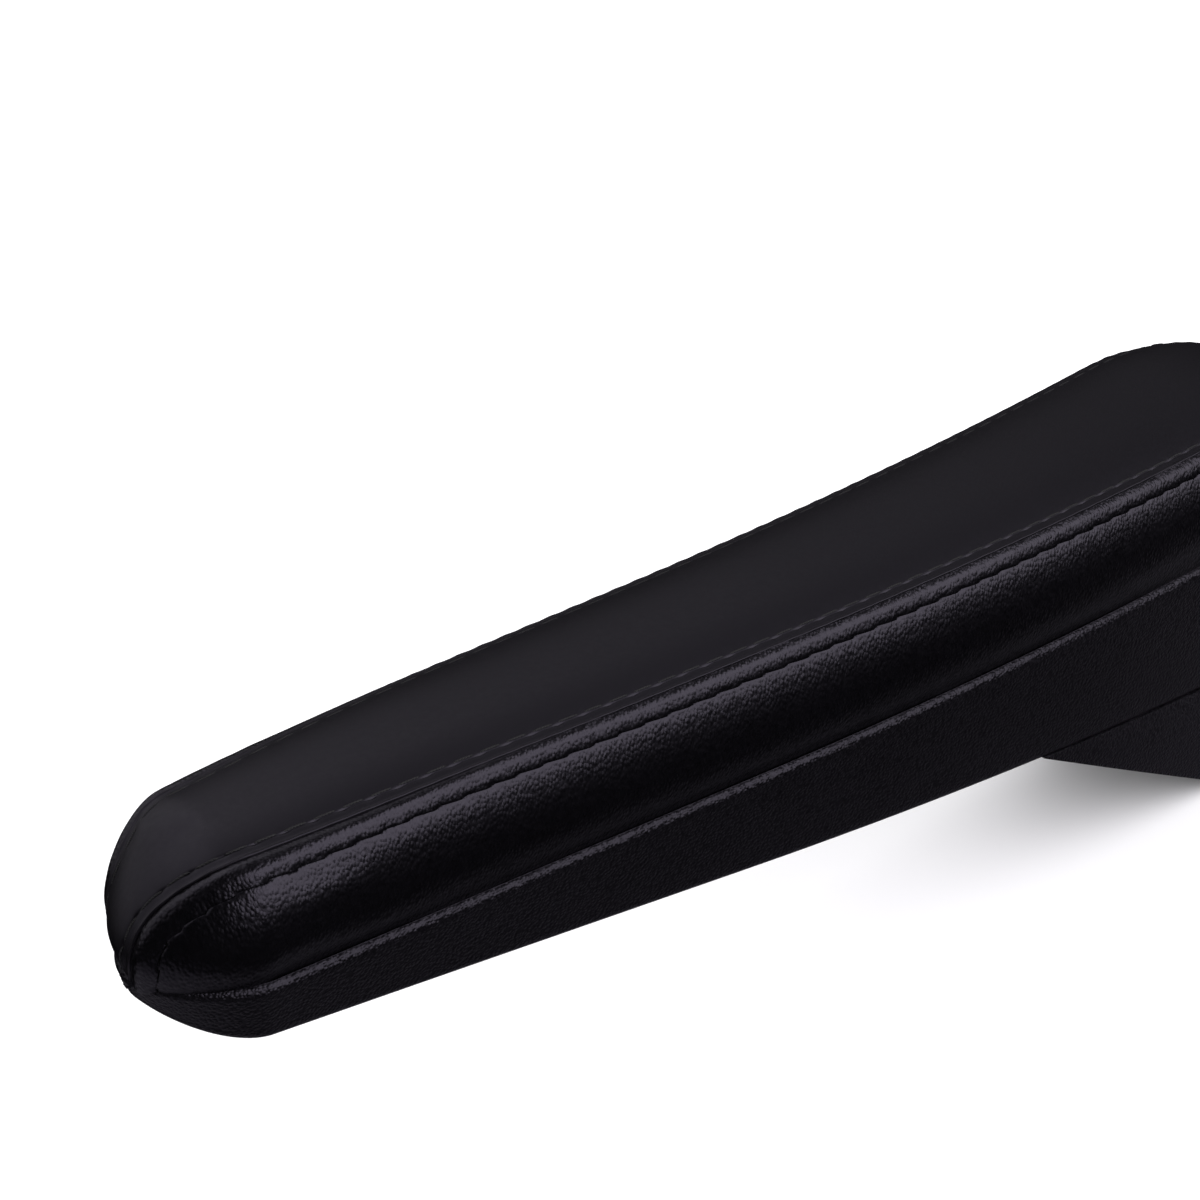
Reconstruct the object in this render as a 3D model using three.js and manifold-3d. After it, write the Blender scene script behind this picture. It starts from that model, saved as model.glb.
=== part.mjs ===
// Upholstered chair armrest: a stitched leather pad on a moulded tray with a support bracket.
//
// Millimetres, +Z up. The arm lies along X with its nose at -X; its outer side faces -Y.
// The origin is the centre of the flat foot under the bracket, where the arm is bolted down.
// Sizes below are given in the arm's own layout, whose zero is the pad's crown line above the
// middle of the arm; the last step moves everything so that the foot is at the origin.

import * as THREE from 'three';
import { ParametricGeometry } from 'three/addons/geometries/ParametricGeometry.js';
import { mergeVertices } from 'three/addons/utils/BufferGeometryUtils.js';
import Module from 'manifold-3d';

const wasm = await Module();
wasm.setup();

// ---------------------------------------------------------------- driving dimensions

const NOSE = { tip: -133, length: 23, power: 1.9 };
const REAR = { tip: 260, length: 70, power: 2.2 };
const SEAM = { halfWidth: 21.3, flare: 0.0255, drop: 5.2, noseTongue: 2.6, rearTongue: 12 };
const BEND = { startX: 18, radius: 1500 };

const RIM = { z: -34.2, slope: -0.0105, overhang: 3.5, lip: 1.6, seat: 1.8 };
const PAD = { leather: 1.4, fold: 11, bulge: 2.6, tuck: 0.4, undercut: 3.6, seatGap: 0.4 };
const BOARD = { thickness: 9, inset: 2.2 };
const WAIST = { z: -18, nose: 9, rear: 17 };
const THREAD = { radius: 0.45, lift: 1.4, upperAt: 0.28, lowerAt: 0.44, from: -127, to: 249, steps: 32 };

const TRAY = { bottom: -58, slope: -0.0956, wall: 3.2, floor: 3, draw: 2.8, edge: 2.4, rearEdge: 14 };
const RIB = { first: -70, pitch: 37, count: 9, thickness: 2, spine: 13.5, drop: 1, end: 17 };
const BAR = { from: 52, to: 242, halfWidth: 11, thickness: 4 };
const BRACKET = { from: 118, to: 252, wall: 9, ceiling: 5, slope: -0.51, toe: 12, ankle: 5, sole: 1.1 };
const FOOT = { from: 205, to: 248, z: -112, plate: 5, plateInset: 2.4, rim: 4, rib: 2, centreX: 226 };

const PAD_SCREW = { at: [-86, 4, 95, 187], shank: 2.3, head: 4, headHeight: 2.6, shelf: 7, length: 17 };
const TEE_NUT = {
  outer: 3.3, inner: 2.65, flange: 7.5, flangeThickness: 1.2, barrelTop: 1.5, tipRoom: 6,
};
const BOSS = { radius: 6.2, bore: 2.8, counterbore: 4.5 };
const PLUG = { radius: 4.2, thickness: 2.4, sunk: 0.6, count: 3 };
const BOLT = {
  at: [216, 237], shank: 2.8, head: 5, headHeight: 4, washer: 6.5, washerThickness: 1.4, spotFace: 1.2,
};
const FRONT_SCREW = { x: 150, counterbore: 5.6, shelf: 5 };
const FOOT_SCREW = {
  at: [213, 238], inset: 7.2, shank: 2, head: 3.6, headHeight: 2.2, length: 14, sunk: 0.4, tipRoom: 1.5,
};
const FOOT_HOLE = { at: [216, 236], radius: 4.2 };
const GAP = 0.3;
const AROUND = 18;

// Levels and half width that lie clear of the whole arm, for cutters that run right through.
const BELOW = -140;
const ABOVE = 20;
const BESIDE = 70;

// ---------------------------------------------------------------- materials

const finish = (color, roughness, metalness) => (
  new THREE.MeshStandardMaterial({ color, roughness, metalness })
);
const FINISH = {
  leather: finish(0x17161c, 0.42, 0.0),
  thread: finish(0x121116, 0.6, 0.0),
  moulding: finish(0x141318, 0.5, 0.0),
  foam: finish(0x8d8a80, 0.95, 0.0),
  board: finish(0x9a7a52, 0.8, 0.0),
  zinc: finish(0xb4b6b8, 0.35, 1.0),
  steel: finish(0x3a3b3e, 0.5, 0.9),
};

// ---------------------------------------------------------------- layout

const clamp01 = (value) => Math.min(1, Math.max(0, value));

// Sideways shift of the arm's centre line towards the sitter behind BEND.startX.
const bendAt = (x) => Math.max(0, x - BEND.startX) ** 2 / (2 * BEND.radius);

// Half the distance between the two seams, before the ends are rounded.
const seamHalf = (x) => SEAM.halfWidth + SEAM.flare * x;
const rimZ = (x) => RIM.z + RIM.slope * x;
const seatZ = (x) => rimZ(x) - RIM.seat;
const trayBottom = (x) => TRAY.bottom + TRAY.slope * x;
const trayFloor = (x) => trayBottom(x) + TRAY.floor;
const trayFoot = (x) => seamHalf(x) + RIM.overhang - TRAY.draw;

// How far into the rounded nose or rear end x lies: 0 along the body, 1 at the tip.
const intoNose = (x, inset) => clamp01((NOSE.tip + NOSE.length - x) / (NOSE.length - inset));
const intoRear = (x, inset) => clamp01((x - REAR.tip + REAR.length) / (REAR.length - inset));
const rounded = (u, power) => (1 - u ** power) ** (1 / power);

// 1 along the body, falling to 0 at both tips as a superellipse does.
const endScale = (x, inset = 0) => rounded(intoNose(x, inset), NOSE.power)
  * rounded(intoRear(x, inset), REAR.power);

// The tray's depth fades out at the nose, and stays nearly full to the rear end.
const depthScale = (x, inset) => rounded(intoNose(x, inset), 2)
  * rounded(clamp01((x - REAR.tip + TRAY.rearEdge) / (TRAY.rearEdge - inset)), 2.4);

// Station along the arm for t in 0..1: close together where the ends are rounded.
function stationAt(t, inset) {
  const endShare = 0.26;
  const [noseBase, rearBase] = [NOSE.tip + NOSE.length, REAR.tip - REAR.length];
  if (t < endShare) return noseBase - (NOSE.length - inset) * Math.cos((t / endShare) * Math.PI / 2);
  if (t > 1 - endShare) {
    return rearBase + (REAR.length - inset) * Math.cos(((1 - t) / endShare) * Math.PI / 2);
  }
  return THREE.MathUtils.mapLinear(t, endShare, 1 - endShare, noseBase, rearBase);
}

// Half section of the upholstered pad in (sideways, up), from the crown to the tuck at the rim.
function padHalfSection(x, inset) {
  const w = seamHalf(x) - inset;
  const foot = seatZ(x) + PAD.seatGap;
  return new THREE.SplineCurve([
    new THREE.Vector2(0, -inset),
    new THREE.Vector2(0.6 * w, -inset - 1.2),
    new THREE.Vector2(w, -SEAM.drop - 0.4 * inset),
    new THREE.Vector2(w + 0.85 * PAD.bulge, -12),
    new THREE.Vector2(w + PAD.bulge, -19),
    new THREE.Vector2(w + 0.8 * PAD.bulge, -28),
    new THREE.Vector2(w + PAD.tuck, foot),
  ]);
}

// A point on the pad's outside: side -1 or 1, t from 0 at the crown to 1 at the tuck.
function padPoint(x, side, t, inset = 0, base = 0) {
  const p = padHalfSection(x, inset).getPoint(t);
  const scale = endScale(x, inset);
  const foot = seatZ(x) + PAD.seatGap;
  const z = Math.max(foot + base, foot + (p.y - foot) * scale);
  const low = 1 - clamp01((z - foot) / 14);
  const tuckIn = PAD.undercut * low * low * (1 - scale);
  const along = x < 0 ? tuckIn : -tuckIn;
  return new THREE.Vector3(x + along, bendAt(x) + side * p.x * scale, z);
}

// ---------------------------------------------------------------- solids

function solid(geometry) {
  const bare = geometry.clone();
  bare.deleteAttribute('normal');
  bare.deleteAttribute('uv');
  const merged = mergeVertices(bare, 1e-3);
  const index = merged.index.array;
  const triVerts = [];
  for (let i = 0; i < index.length; i += 3) {
    const [a, b, c] = [index[i], index[i + 1], index[i + 2]];
    if (a !== b && b !== c && c !== a) triVerts.push(a, b, c);
  }
  return new wasm.Manifold(new wasm.Mesh({
    numProp: 3,
    vertProperties: new Float32Array(merged.attributes.position.array),
    triVerts: new Uint32Array(triVerts),
  }));
}

function geometryOf(manifold) {
  const mesh = manifold.getMesh();
  const geometry = new THREE.BufferGeometry();
  geometry.setAttribute('position', new THREE.BufferAttribute(new Float32Array(mesh.vertProperties), 3));
  geometry.setIndex(new THREE.BufferAttribute(new Uint32Array(mesh.triVerts), 1));
  return geometry;
}

// A round post standing at (x, y) from z0 up to z1.
function post(x, y, z0, z1, radius, sides = 12) {
  const geometry = new THREE.CylinderGeometry(radius, radius, z1 - z0, sides);
  geometry.rotateX(Math.PI / 2);
  geometry.translate(x, y, (z0 + z1) / 2);
  return solid(geometry);
}

// A closed skin through rings: pointAt(x, v) goes once around the section at x as v goes 0..1.
function skin(pointAt, inset, around, along = 22) {
  const place = (u, v, target) => target.copy(pointAt(stationAt(u, inset), v === 1 ? 0 : v));
  return solid(new ParametricGeometry(place, along, around));
}

// The pad's outside drawn in by inset on every side, with its flat underside raised by base.
function padBody(inset, base, around) {
  const wallShare = 1 - 2 / around;
  return skin((x, v) => {
    const w = 2 * Math.min(v / wallShare, 1) - 1;
    const edge = padPoint(x, w < 0 ? -1 : 1, Math.abs(w), inset, base);
    if (v <= wallShare) return edge;
    const start = padPoint(x, -1, 1, inset, base);
    return edge.lerp(start, (v - wallShare) / (1 - wallShare));
  }, inset, around);
}

// The tray's outside drawn in by inset, from rise above the rim down to its floor raised by lift.
// Every height is measured from the rim and fades out at the tips.
function trayBody(inset, lift, rise) {
  return skin((x, v) => {
    const fade = depthScale(x, inset);
    const depth = rimZ(x) - trayBottom(x) - lift;
    const wall = seamHalf(x) + RIM.overhang - inset;
    const foot = trayFoot(x) - inset;
    const half = [[wall, rise], [wall, -2], [foot, TRAY.edge - depth], [foot - TRAY.edge, -depth]];
    const ring = [...half, ...half.toReversed().map(([y, h]) => [-y, h])];
    const [y, height] = ring[Math.round(v * ring.length) % ring.length];
    return new THREE.Vector3(x, bendAt(x) + y * endScale(x, inset), rimZ(x) + height * fade);
  }, inset, 8);
}

// An upright wall-sided geometry whose plan follows the bent arm at halfWidth(x), z0 to z1 high,
// sheared so that its flat faces climb by slope along X.
function curtain(halfWidth, from, to, z0, z1, slope = 0, steps = 24) {
  const sideOf = (side) => Array.from({ length: steps + 1 }, (_, i) => {
    const x = THREE.MathUtils.lerp(from, to, (1 - Math.cos((i / steps) * Math.PI)) / 2);
    return new THREE.Vector2(x, bendAt(x) + side * halfWidth(x));
  });
  const outline = new THREE.Shape([...sideOf(-1), ...sideOf(1).reverse()]);
  const geometry = new THREE.ExtrudeGeometry(outline, { depth: z1 - z0, bevelEnabled: false });
  geometry.translate(0, 0, z0);
  geometry.applyMatrix4(new THREE.Matrix4().makeShear(0, slope, 0, 0, 0, 0));
  return solid(geometry);
}

// Extrudes a side view drawn in (x, z) right across the arm.
function acrossArm(points) {
  const side = new THREE.Shape(points.map(([x, z]) => new THREE.Vector2(x, z)));
  const geometry = new THREE.ExtrudeGeometry(side, { depth: 2 * BESIDE, bevelEnabled: false });
  geometry.rotateX(Math.PI / 2);
  geometry.translate(0, BESIDE, 0);
  return solid(geometry);
}

// A slab across the whole arm between two levels that are functions of x, linear in x.
function slab(low, high) {
  const [x0, x1] = [NOSE.tip - 20, REAR.tip + 20];
  return acrossArm([[x0, low(x0)], [x1, low(x1)], [x1, high(x1)], [x0, high(x0)]]);
}

// A turned piece from a closed profile of (radius, height), standing on (x, y, z).
function turned(profile, x, y, z, sides = 12) {
  const points = profile.map(([r, h]) => new THREE.Vector2(r, h));
  const geometry = new THREE.LatheGeometry(points, sides);
  geometry.rotateX(Math.PI / 2);
  geometry.translate(x, y, z);
  return solid(geometry);
}

const washerProfile = (inner, outer, h) => [[inner, 0], [outer, 0], [outer, h], [inner, h], [inner, 0]];
const screwProfile = (shank, head, headHeight, length) => [
  [0, 0], [head, 0], [head, headHeight], [shank, headHeight], [shank, length], [0, length],
];

// ---------------------------------------------------------------- assembly

const group = new THREE.Group();
const layout = new THREE.Group();
group.add(layout);

function addPiece(name, shape, material) {
  const geometry = shape.isBufferGeometry ? shape : geometryOf(shape);
  const mesh = new THREE.Mesh(geometry, material);
  mesh.name = name;
  layout.add(mesh);
}

// A block over the whole length on one side of the centre line, from the middle outwards.
function sideBlock(side) {
  return curtain(() => BESIDE, NOSE.tip - 3, REAR.tip + 3, BELOW, ABOVE)
    .translate([0, side * (BESIDE + GAP / 2), 0]);
}

function buildUpholstery() {
  const fold = (x) => seatZ(x) + PAD.seatGap;
  const seamPlan = (x) => Math.max(x < 0 ? SEAM.noseTongue : SEAM.rearTongue, seamHalf(x) * endScale(x));
  const foldPlan = (x) => Math.max(0.5, (seamHalf(x) - PAD.fold) * endScale(x, PAD.fold));
  const ends = [NOSE.tip - 3, REAR.tip + 3];

  const shell = padBody(0, 0, AROUND)
    .subtract(padBody(PAD.leather, PAD.leather, AROUND))
    .subtract(curtain(foldPlan, NOSE.tip + PAD.fold + 1, REAR.tip - PAD.fold - 1, BELOW, -25));
  // Between the ends the top panel stays above the cheeks' waist.
  const waist = curtain(() => BESIDE, NOSE.tip + WAIST.nose, REAR.tip - WAIST.rear, BELOW, WAIST.z);
  const tongue = curtain((x) => seamPlan(x) - GAP / 2, ...ends, BELOW, ABOVE).subtract(waist);
  const cut = curtain((x) => seamPlan(x) + GAP / 2, ...ends, BELOW, ABOVE).subtract(waist);
  const aboveFold = slab((x) => fold(x) + 3, () => ABOVE);
  const cheeks = shell.subtract(cut.intersect(slab((x) => fold(x) + 3 - GAP, () => ABOVE)));
  addPiece('leather_top_panel', shell.intersect(tongue).intersect(aboveFold), FINISH.leather);
  addPiece('leather_outer_cheek', cheeks.intersect(sideBlock(-1)), FINISH.leather);
  addPiece('leather_inner_cheek', cheeks.intersect(sideBlock(1)), FINISH.leather);

  const lining = PAD.leather + GAP;
  const boardTop = (x) => fold(x) + lining + BOARD.thickness;
  let foam = padBody(lining, lining, AROUND).intersect(slab((x) => boardTop(x) + GAP, () => ABOVE));
  let board = padBody(BOARD.inset, lining, AROUND).intersect(slab(() => BELOW, boardTop));
  PAD_SCREW.at.forEach((x, i) => {
    const y = bendAt(x);
    const top = boardTop(x);
    const flangeTop = top + TEE_NUT.flangeThickness + 2 * GAP;
    foam = foam.subtract(post(x, y, top - 1, flangeTop, TEE_NUT.flange + GAP));
    foam = foam.subtract(post(x, y, top - 1, top + TEE_NUT.tipRoom, TEE_NUT.outer + GAP));
    board = board.subtract(post(x, y, BELOW, 0, TEE_NUT.outer + GAP));
    const barrel = washerProfile(TEE_NUT.inner, TEE_NUT.outer, BOARD.thickness);
    const nut = turned(barrel, x, y, top + TEE_NUT.barrelTop - BOARD.thickness)
      .add(turned(washerProfile(TEE_NUT.inner, TEE_NUT.flange, TEE_NUT.flangeThickness), x, y, top + GAP));
    addPiece(`tee_nut_${i + 1}`, nut, FINISH.zinc);
  });
  addPiece('foam_core', foam, FINISH.foam);
  addPiece('pad_board', board, FINISH.board);
}

// One row of topstitching laid on the leather as a single thread, at t down the pad's section.
function buildThread(name, side, t) {
  const { steps } = THREAD;
  const points = Array.from({ length: steps + 1 }, (_, i) => {
    const x = THREE.MathUtils.lerp(THREAD.from, THREAD.to, (1 - Math.cos((i / steps) * Math.PI)) / 2);
    const here = padPoint(x, side, t);
    const across = padPoint(x, side, t + 0.02).sub(padPoint(x, side, t - 0.02));
    const along = padPoint(x + 1, side, t).sub(padPoint(x - 1, side, t));
    const out = across.cross(along).normalize();
    const fromCore = here.clone().sub(new THREE.Vector3(x, bendAt(x), seatZ(x) + 10));
    return here.addScaledVector(out, THREAD.lift * Math.sign(out.dot(fromCore)));
  });
  const section = new THREE.Shape(Array.from({ length: 4 }, (_, k) => {
    const angle = (k / 4) * 2 * Math.PI;
    return new THREE.Vector2(THREAD.radius * Math.cos(angle), THREAD.radius * Math.sin(angle));
  }));
  const extrudePath = new THREE.CatmullRomCurve3(points);
  addPiece(name, solid(new THREE.ExtrudeGeometry(section, { steps, extrudePath })), FINISH.thread);
}

function buildTray() {
  const seatPocket = trayBody(RIM.lip, 0, 6).intersect(slab(seatZ, () => ABOVE));
  const cavity = trayBody(TRAY.wall, TRAY.floor, 1);
  const inside = trayBody(TRAY.wall - 0.5, TRAY.floor - 0.5, 1);

  const half = RIB.thickness / 2;
  const spineFrom = NOSE.tip + RIB.end;
  const spineTo = REAR.tip - RIB.end;
  const spine = curtain(() => RIB.spine + half, spineFrom - half, spineTo + half, BELOW, 0)
    .subtract(curtain(() => RIB.spine - half, spineFrom + half, spineTo - half, BELOW - 1, 1));
  let bosses = post(PAD_SCREW.at[0], bendAt(PAD_SCREW.at[0]), BELOW, 0, BOSS.radius);
  PAD_SCREW.at.slice(1).forEach((x) => {
    bosses = bosses.add(post(x, bendAt(x), BELOW, 0, BOSS.radius));
  });
  let ribs = spine.add(bosses);
  for (let i = 0; i < RIB.count; i += 1) {
    const x = RIB.first + i * RIB.pitch;
    ribs = ribs.add(acrossArm([[x - half, BELOW], [x + half, BELOW], [x + half, 0], [x - half, 0]]));
  }
  const barBottom = TRAY.bottom + TRAY.floor;
  const barRoom = curtain(
    () => BAR.halfWidth + 1, BAR.from - 1, BAR.to + 1,
    barBottom, barBottom + BAR.thickness + 2 * GAP, TRAY.slope,
  );
  const ribTop = (x) => seatZ(x) - RIB.drop;
  const frame = ribs.subtract(barRoom.subtract(bosses))
    .intersect(inside)
    .intersect(slab(() => BELOW, ribTop));

  let tray = trayBody(0, 0, 0).subtract(seatPocket).subtract(cavity).add(frame);
  PAD_SCREW.at.forEach((x) => {
    const shelf = ribTop(x) - PAD_SCREW.shelf;
    tray = tray.subtract(post(x, bendAt(x), BELOW, 0, BOSS.bore));
    tray = tray.subtract(post(x, bendAt(x), BELOW, shelf, BOSS.counterbore));
  });
  [...BOLT.at, FRONT_SCREW.x].forEach((x) => {
    tray = tray.subtract(post(x, bendAt(x), BELOW, trayFloor(x) + BAR.thickness + 2, BOLT.shank + GAP));
  });
  addPiece('arm_tray', tray, FINISH.moulding);

  let bar = curtain(
    () => BAR.halfWidth, BAR.from, BAR.to,
    barBottom + GAP, barBottom + GAP + BAR.thickness, TRAY.slope, 12,
  );
  PAD_SCREW.at.filter((x) => x > BAR.from).forEach((x) => {
    bar = bar.subtract(post(x, bendAt(x), BELOW, 0, BOSS.radius + GAP));
  });
  [...BOLT.at, FRONT_SCREW.x].forEach((x) => {
    bar = bar.subtract(post(x, bendAt(x), BELOW, 0, BOLT.shank + GAP));
  });
  addPiece('steel_arm_bar', bar, FINISH.steel);

  PAD_SCREW.at.forEach((x, i) => {
    const z = ribTop(x) - PAD_SCREW.shelf - PAD_SCREW.headHeight - 0.1;
    const profile = screwProfile(PAD_SCREW.shank, PAD_SCREW.head, PAD_SCREW.headHeight, PAD_SCREW.length);
    addPiece(`pad_screw_${i + 1}`, turned(profile, x, bendAt(x), z), FINISH.zinc);
    if (i < PLUG.count) {
      const plugZ = trayBottom(x) + PLUG.sunk;
      const plug = post(x, bendAt(x), plugZ, plugZ + PLUG.thickness, PLUG.radius);
      addPiece(`screw_plug_${i + 1}`, plug, FINISH.moulding);
    }
  });
}

function buildBracket() {
  const top = (x) => trayBottom(x) - GAP;
  const plan = (inset) => (x) => Math.max(0.5, trayFoot(x) * endScale(x) - inset);
  const toeX = FOOT.from - BRACKET.toe;
  const side = acrossArm([
    [BRACKET.from, top(BRACKET.from)],
    [toeX, top(BRACKET.from) + BRACKET.slope * (toeX - BRACKET.from)],
    [FOOT.from - BRACKET.ankle, FOOT.z + BRACKET.sole],
    [FOOT.from, FOOT.z],
    [BRACKET.to, FOOT.z],
    [BRACKET.to, top(BRACKET.to)],
  ]);
  const plateRoom = curtain(
    plan(FOOT.plateInset - GAP), FOOT.from + FOOT.plateInset - GAP, FOOT.to - FOOT.plateInset + GAP,
    BELOW, FOOT.z + FOOT.plate + GAP,
  );
  const ceiling = (x) => top(x) - BRACKET.ceiling;
  const pocket = curtain(plan(BRACKET.wall), FOOT.from + FOOT.rim, FOOT.to - FOOT.rim, BELOW, 0)
    .intersect(slab(() => BELOW, ceiling));
  const ribZ = FOOT.z + FOOT.plate + 1;
  const midRib = acrossArm([
    [FOOT.centreX - FOOT.rib / 2, ribZ], [FOOT.centreX + FOOT.rib / 2, ribZ],
    [FOOT.centreX + FOOT.rib / 2, 0], [FOOT.centreX - FOOT.rib / 2, 0],
  ]);
  let bracket = curtain(plan(0), BRACKET.from - 1, BRACKET.to, BELOW, 0)
    .intersect(side)
    .subtract(pocket.subtract(midRib))
    .subtract(plateRoom);

  let plate = curtain(
    plan(FOOT.plateInset), FOOT.from + FOOT.plateInset, FOOT.to - FOOT.plateInset,
    FOOT.z, FOOT.z + FOOT.plate,
  );
  FOOT_HOLE.at.forEach((x) => {
    plate = plate.subtract(post(x, bendAt(x), BELOW, 0, FOOT_HOLE.radius, 20));
  });

  FOOT_SCREW.at.forEach((x, row) => {
    [-1, 1].forEach((sideSign, col) => {
      const y = bendAt(x) + sideSign * (plan(FOOT_SCREW.inset)(x));
      const headZ = FOOT.z + FOOT_SCREW.sunk;
      const seat = headZ + FOOT_SCREW.headHeight;
      plate = plate.subtract(post(x, y, BELOW, 0, FOOT_SCREW.shank + GAP));
      plate = plate.subtract(post(x, y, BELOW, seat + GAP, FOOT_SCREW.head + GAP));
      const holeTop = FOOT.z + FOOT_SCREW.length + FOOT_SCREW.tipRoom;
      bracket = bracket.subtract(post(x, y, FOOT.z, holeTop, FOOT_SCREW.shank + GAP));
      const profile = screwProfile(
        FOOT_SCREW.shank, FOOT_SCREW.head, FOOT_SCREW.headHeight, FOOT_SCREW.length,
      );
      addPiece(`foot_screw_${row * 2 + col + 1}`, turned(profile, x, y, headZ), FINISH.zinc);
    });
  });

  const barTop = (x) => trayFloor(x) + GAP + BAR.thickness;
  BOLT.at.forEach((x, i) => {
    const y = bendAt(x);
    const under = ceiling(x) - BOLT.spotFace;
    const washerZ = under - BOLT.washerThickness;
    bracket = bracket.subtract(post(x, y, under - BOLT.headHeight, 0, BOLT.shank + GAP));
    bracket = bracket.subtract(post(x, y, under - BOLT.headHeight, under + GAP, BOLT.washer + 1));
    const washer = washerProfile(BOLT.shank + GAP, BOLT.washer, BOLT.washerThickness);
    addPiece(`bracket_washer_${i + 1}`, turned(washer, x, y, washerZ), FINISH.zinc);
    const headZ = washerZ - GAP - BOLT.headHeight;
    const profile = screwProfile(BOLT.shank, BOLT.head, BOLT.headHeight, barTop(x) - headZ);
    addPiece(`bracket_bolt_${i + 1}`, turned(profile, x, y, headZ), FINISH.zinc);
  });

  const { x, shelf: shelfDepth, counterbore } = FRONT_SCREW;
  const shelf = top(x) - shelfDepth;
  const headZ = shelf - GAP - BOLT.headHeight;
  bracket = bracket.subtract(post(x, bendAt(x), BELOW, 0, BOLT.shank + GAP));
  bracket = bracket.subtract(post(x, bendAt(x), BELOW, shelf, counterbore));
  const profile = screwProfile(BOLT.shank, BOLT.head, BOLT.headHeight, barTop(x) - headZ);
  addPiece('bracket_front_screw', turned(profile, x, bendAt(x), headZ), FINISH.zinc);
  addPiece('support_bracket', bracket, FINISH.moulding);
  addPiece('foot_plate', plate, FINISH.steel);
}

buildUpholstery();
buildThread('topstitch_upper_outer', -1, THREAD.upperAt);
buildThread('topstitch_lower_outer', -1, THREAD.lowerAt);
buildThread('topstitch_upper_inner', 1, THREAD.upperAt);
buildThread('topstitch_lower_inner', 1, THREAD.lowerAt);
buildTray();
buildBracket();

layout.position.set(-FOOT.centreX, -bendAt(FOOT.centreX), -FOOT.z);

export default group;
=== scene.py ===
"""Studio scene of an upholstered chair armrest: a stitched leather pad on a moulded tray.

Shapes are worked out in millimetres in the arm's own layout: the arm lies along X with its nose at
-X, the outer side faces -Y, and height zero is the crown line of the pad. ArmForm turns them into
metres in the part's frame, whose origin is the centre of the foot.
"""

import logging
import math
from dataclasses import dataclass, field
from enum import Enum
from typing import Callable, Sequence

import bmesh
import bpy
import numpy as np
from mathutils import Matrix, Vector
from mathutils.bvhtree import BVHTree


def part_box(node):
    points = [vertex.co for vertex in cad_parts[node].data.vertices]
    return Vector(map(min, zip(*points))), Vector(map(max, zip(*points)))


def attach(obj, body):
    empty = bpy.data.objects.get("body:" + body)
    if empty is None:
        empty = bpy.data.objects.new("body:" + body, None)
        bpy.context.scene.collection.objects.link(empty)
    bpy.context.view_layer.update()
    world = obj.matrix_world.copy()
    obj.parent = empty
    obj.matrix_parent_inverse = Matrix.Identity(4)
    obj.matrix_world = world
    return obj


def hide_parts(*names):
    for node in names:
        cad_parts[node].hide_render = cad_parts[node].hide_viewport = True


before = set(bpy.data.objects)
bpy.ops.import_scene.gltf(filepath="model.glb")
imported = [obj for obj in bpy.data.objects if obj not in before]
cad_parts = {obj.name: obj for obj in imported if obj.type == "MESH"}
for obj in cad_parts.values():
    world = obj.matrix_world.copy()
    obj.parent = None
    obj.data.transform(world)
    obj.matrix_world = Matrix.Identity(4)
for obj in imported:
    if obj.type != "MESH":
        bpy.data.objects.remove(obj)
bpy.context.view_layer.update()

MM = 0.001
LOG = logging.getLogger("armrest")

Points = np.ndarray
Colour = tuple[float, float, float]

# Leather and moulding reflect the light with a faint violet cast.
SHEEN: Colour = (0.88, 0.82, 1.0)


class Side(Enum):
    """The two long sides of the arm; the value is the sign of Y."""

    OUTER = -1
    INNER = 1


# ------------------------------------------------------------------------------- curves and grids


def clamp01(value: Points) -> Points:
    """Limits an array to 0..1."""
    return np.clip(value, 0.0, 1.0)


def smooth_step(value: Points) -> Points:
    """Eases an array from 0 to 1 with flat ends."""
    t = clamp01(value)
    return t * t * (3.0 - 2.0 * t)


def bell(distance: Points, width: float) -> Points:
    """A smooth bump of height 1 at distance 0, about two widths across."""
    return np.exp(-((distance / width) ** 2))


def path_length(points: Points) -> Points:
    """Running length along a polyline."""
    return np.concatenate([[0.0], np.cumsum(np.linalg.norm(np.diff(points, axis=0), axis=1))])


def at_lengths(points: Points, lengths: Points) -> Points:
    """Points at the given lengths along a polyline.

    Args:
        points: the polyline, one row each.
        lengths: distances from its first point.

    Returns:
        One row for each length.
    """
    run = path_length(points)
    return np.stack([np.interp(lengths, run, points[:, k]) for k in range(3)], axis=1)


def rounded_path(guides: Points, steps: int = 24) -> Points:
    """A smooth path through guide points.

    Args:
        guides: the points to pass through.
        steps: points made for each span.

    Returns:
        The dense path, ends included.
    """
    padded = np.vstack([2 * guides[0] - guides[1], guides, 2 * guides[-1] - guides[-2]])
    out = []
    for i in range(1, len(padded) - 2):
        p0, p1, p2, p3 = padded[i - 1 : i + 3]
        t = np.linspace(0, 1, steps, endpoint=False)[:, None]
        out.append(0.5 * (2 * p1 + (p2 - p0) * t + (2 * p0 - 5 * p1 + 4 * p2 - p3) * t**2
                          + (3 * p1 - p0 - 3 * p2 + p3) * t**3))
    return np.vstack([*out, padded[-2]])


def cubic_weights(knots: Points, at: Points) -> Points:
    """Matrix that interpolates values given at knots smoothly to other places.

    Args:
        knots: rising parameters where the values are known.
        at: parameters where they are wanted.

    Returns:
        One row of weights for each wanted parameter.
    """
    n = len(knots)
    place = np.interp(at, knots, np.arange(n))
    base = np.minimum(place.astype(int), n - 2)
    t = place - base
    w = np.zeros((len(at), n))
    parts = (-0.5 * t + t**2 - 0.5 * t**3, 1 - 2.5 * t**2 + 1.5 * t**3,
             0.5 * t + 2 * t**2 - 1.5 * t**3, -0.5 * t**2 + 0.5 * t**3)
    rows = np.arange(len(at))
    for shift, part in zip((-1, 0, 1, 2), parts):
        np.add.at(w, (rows, np.clip(base + shift, 0, n - 1)), part)
    return w


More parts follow.
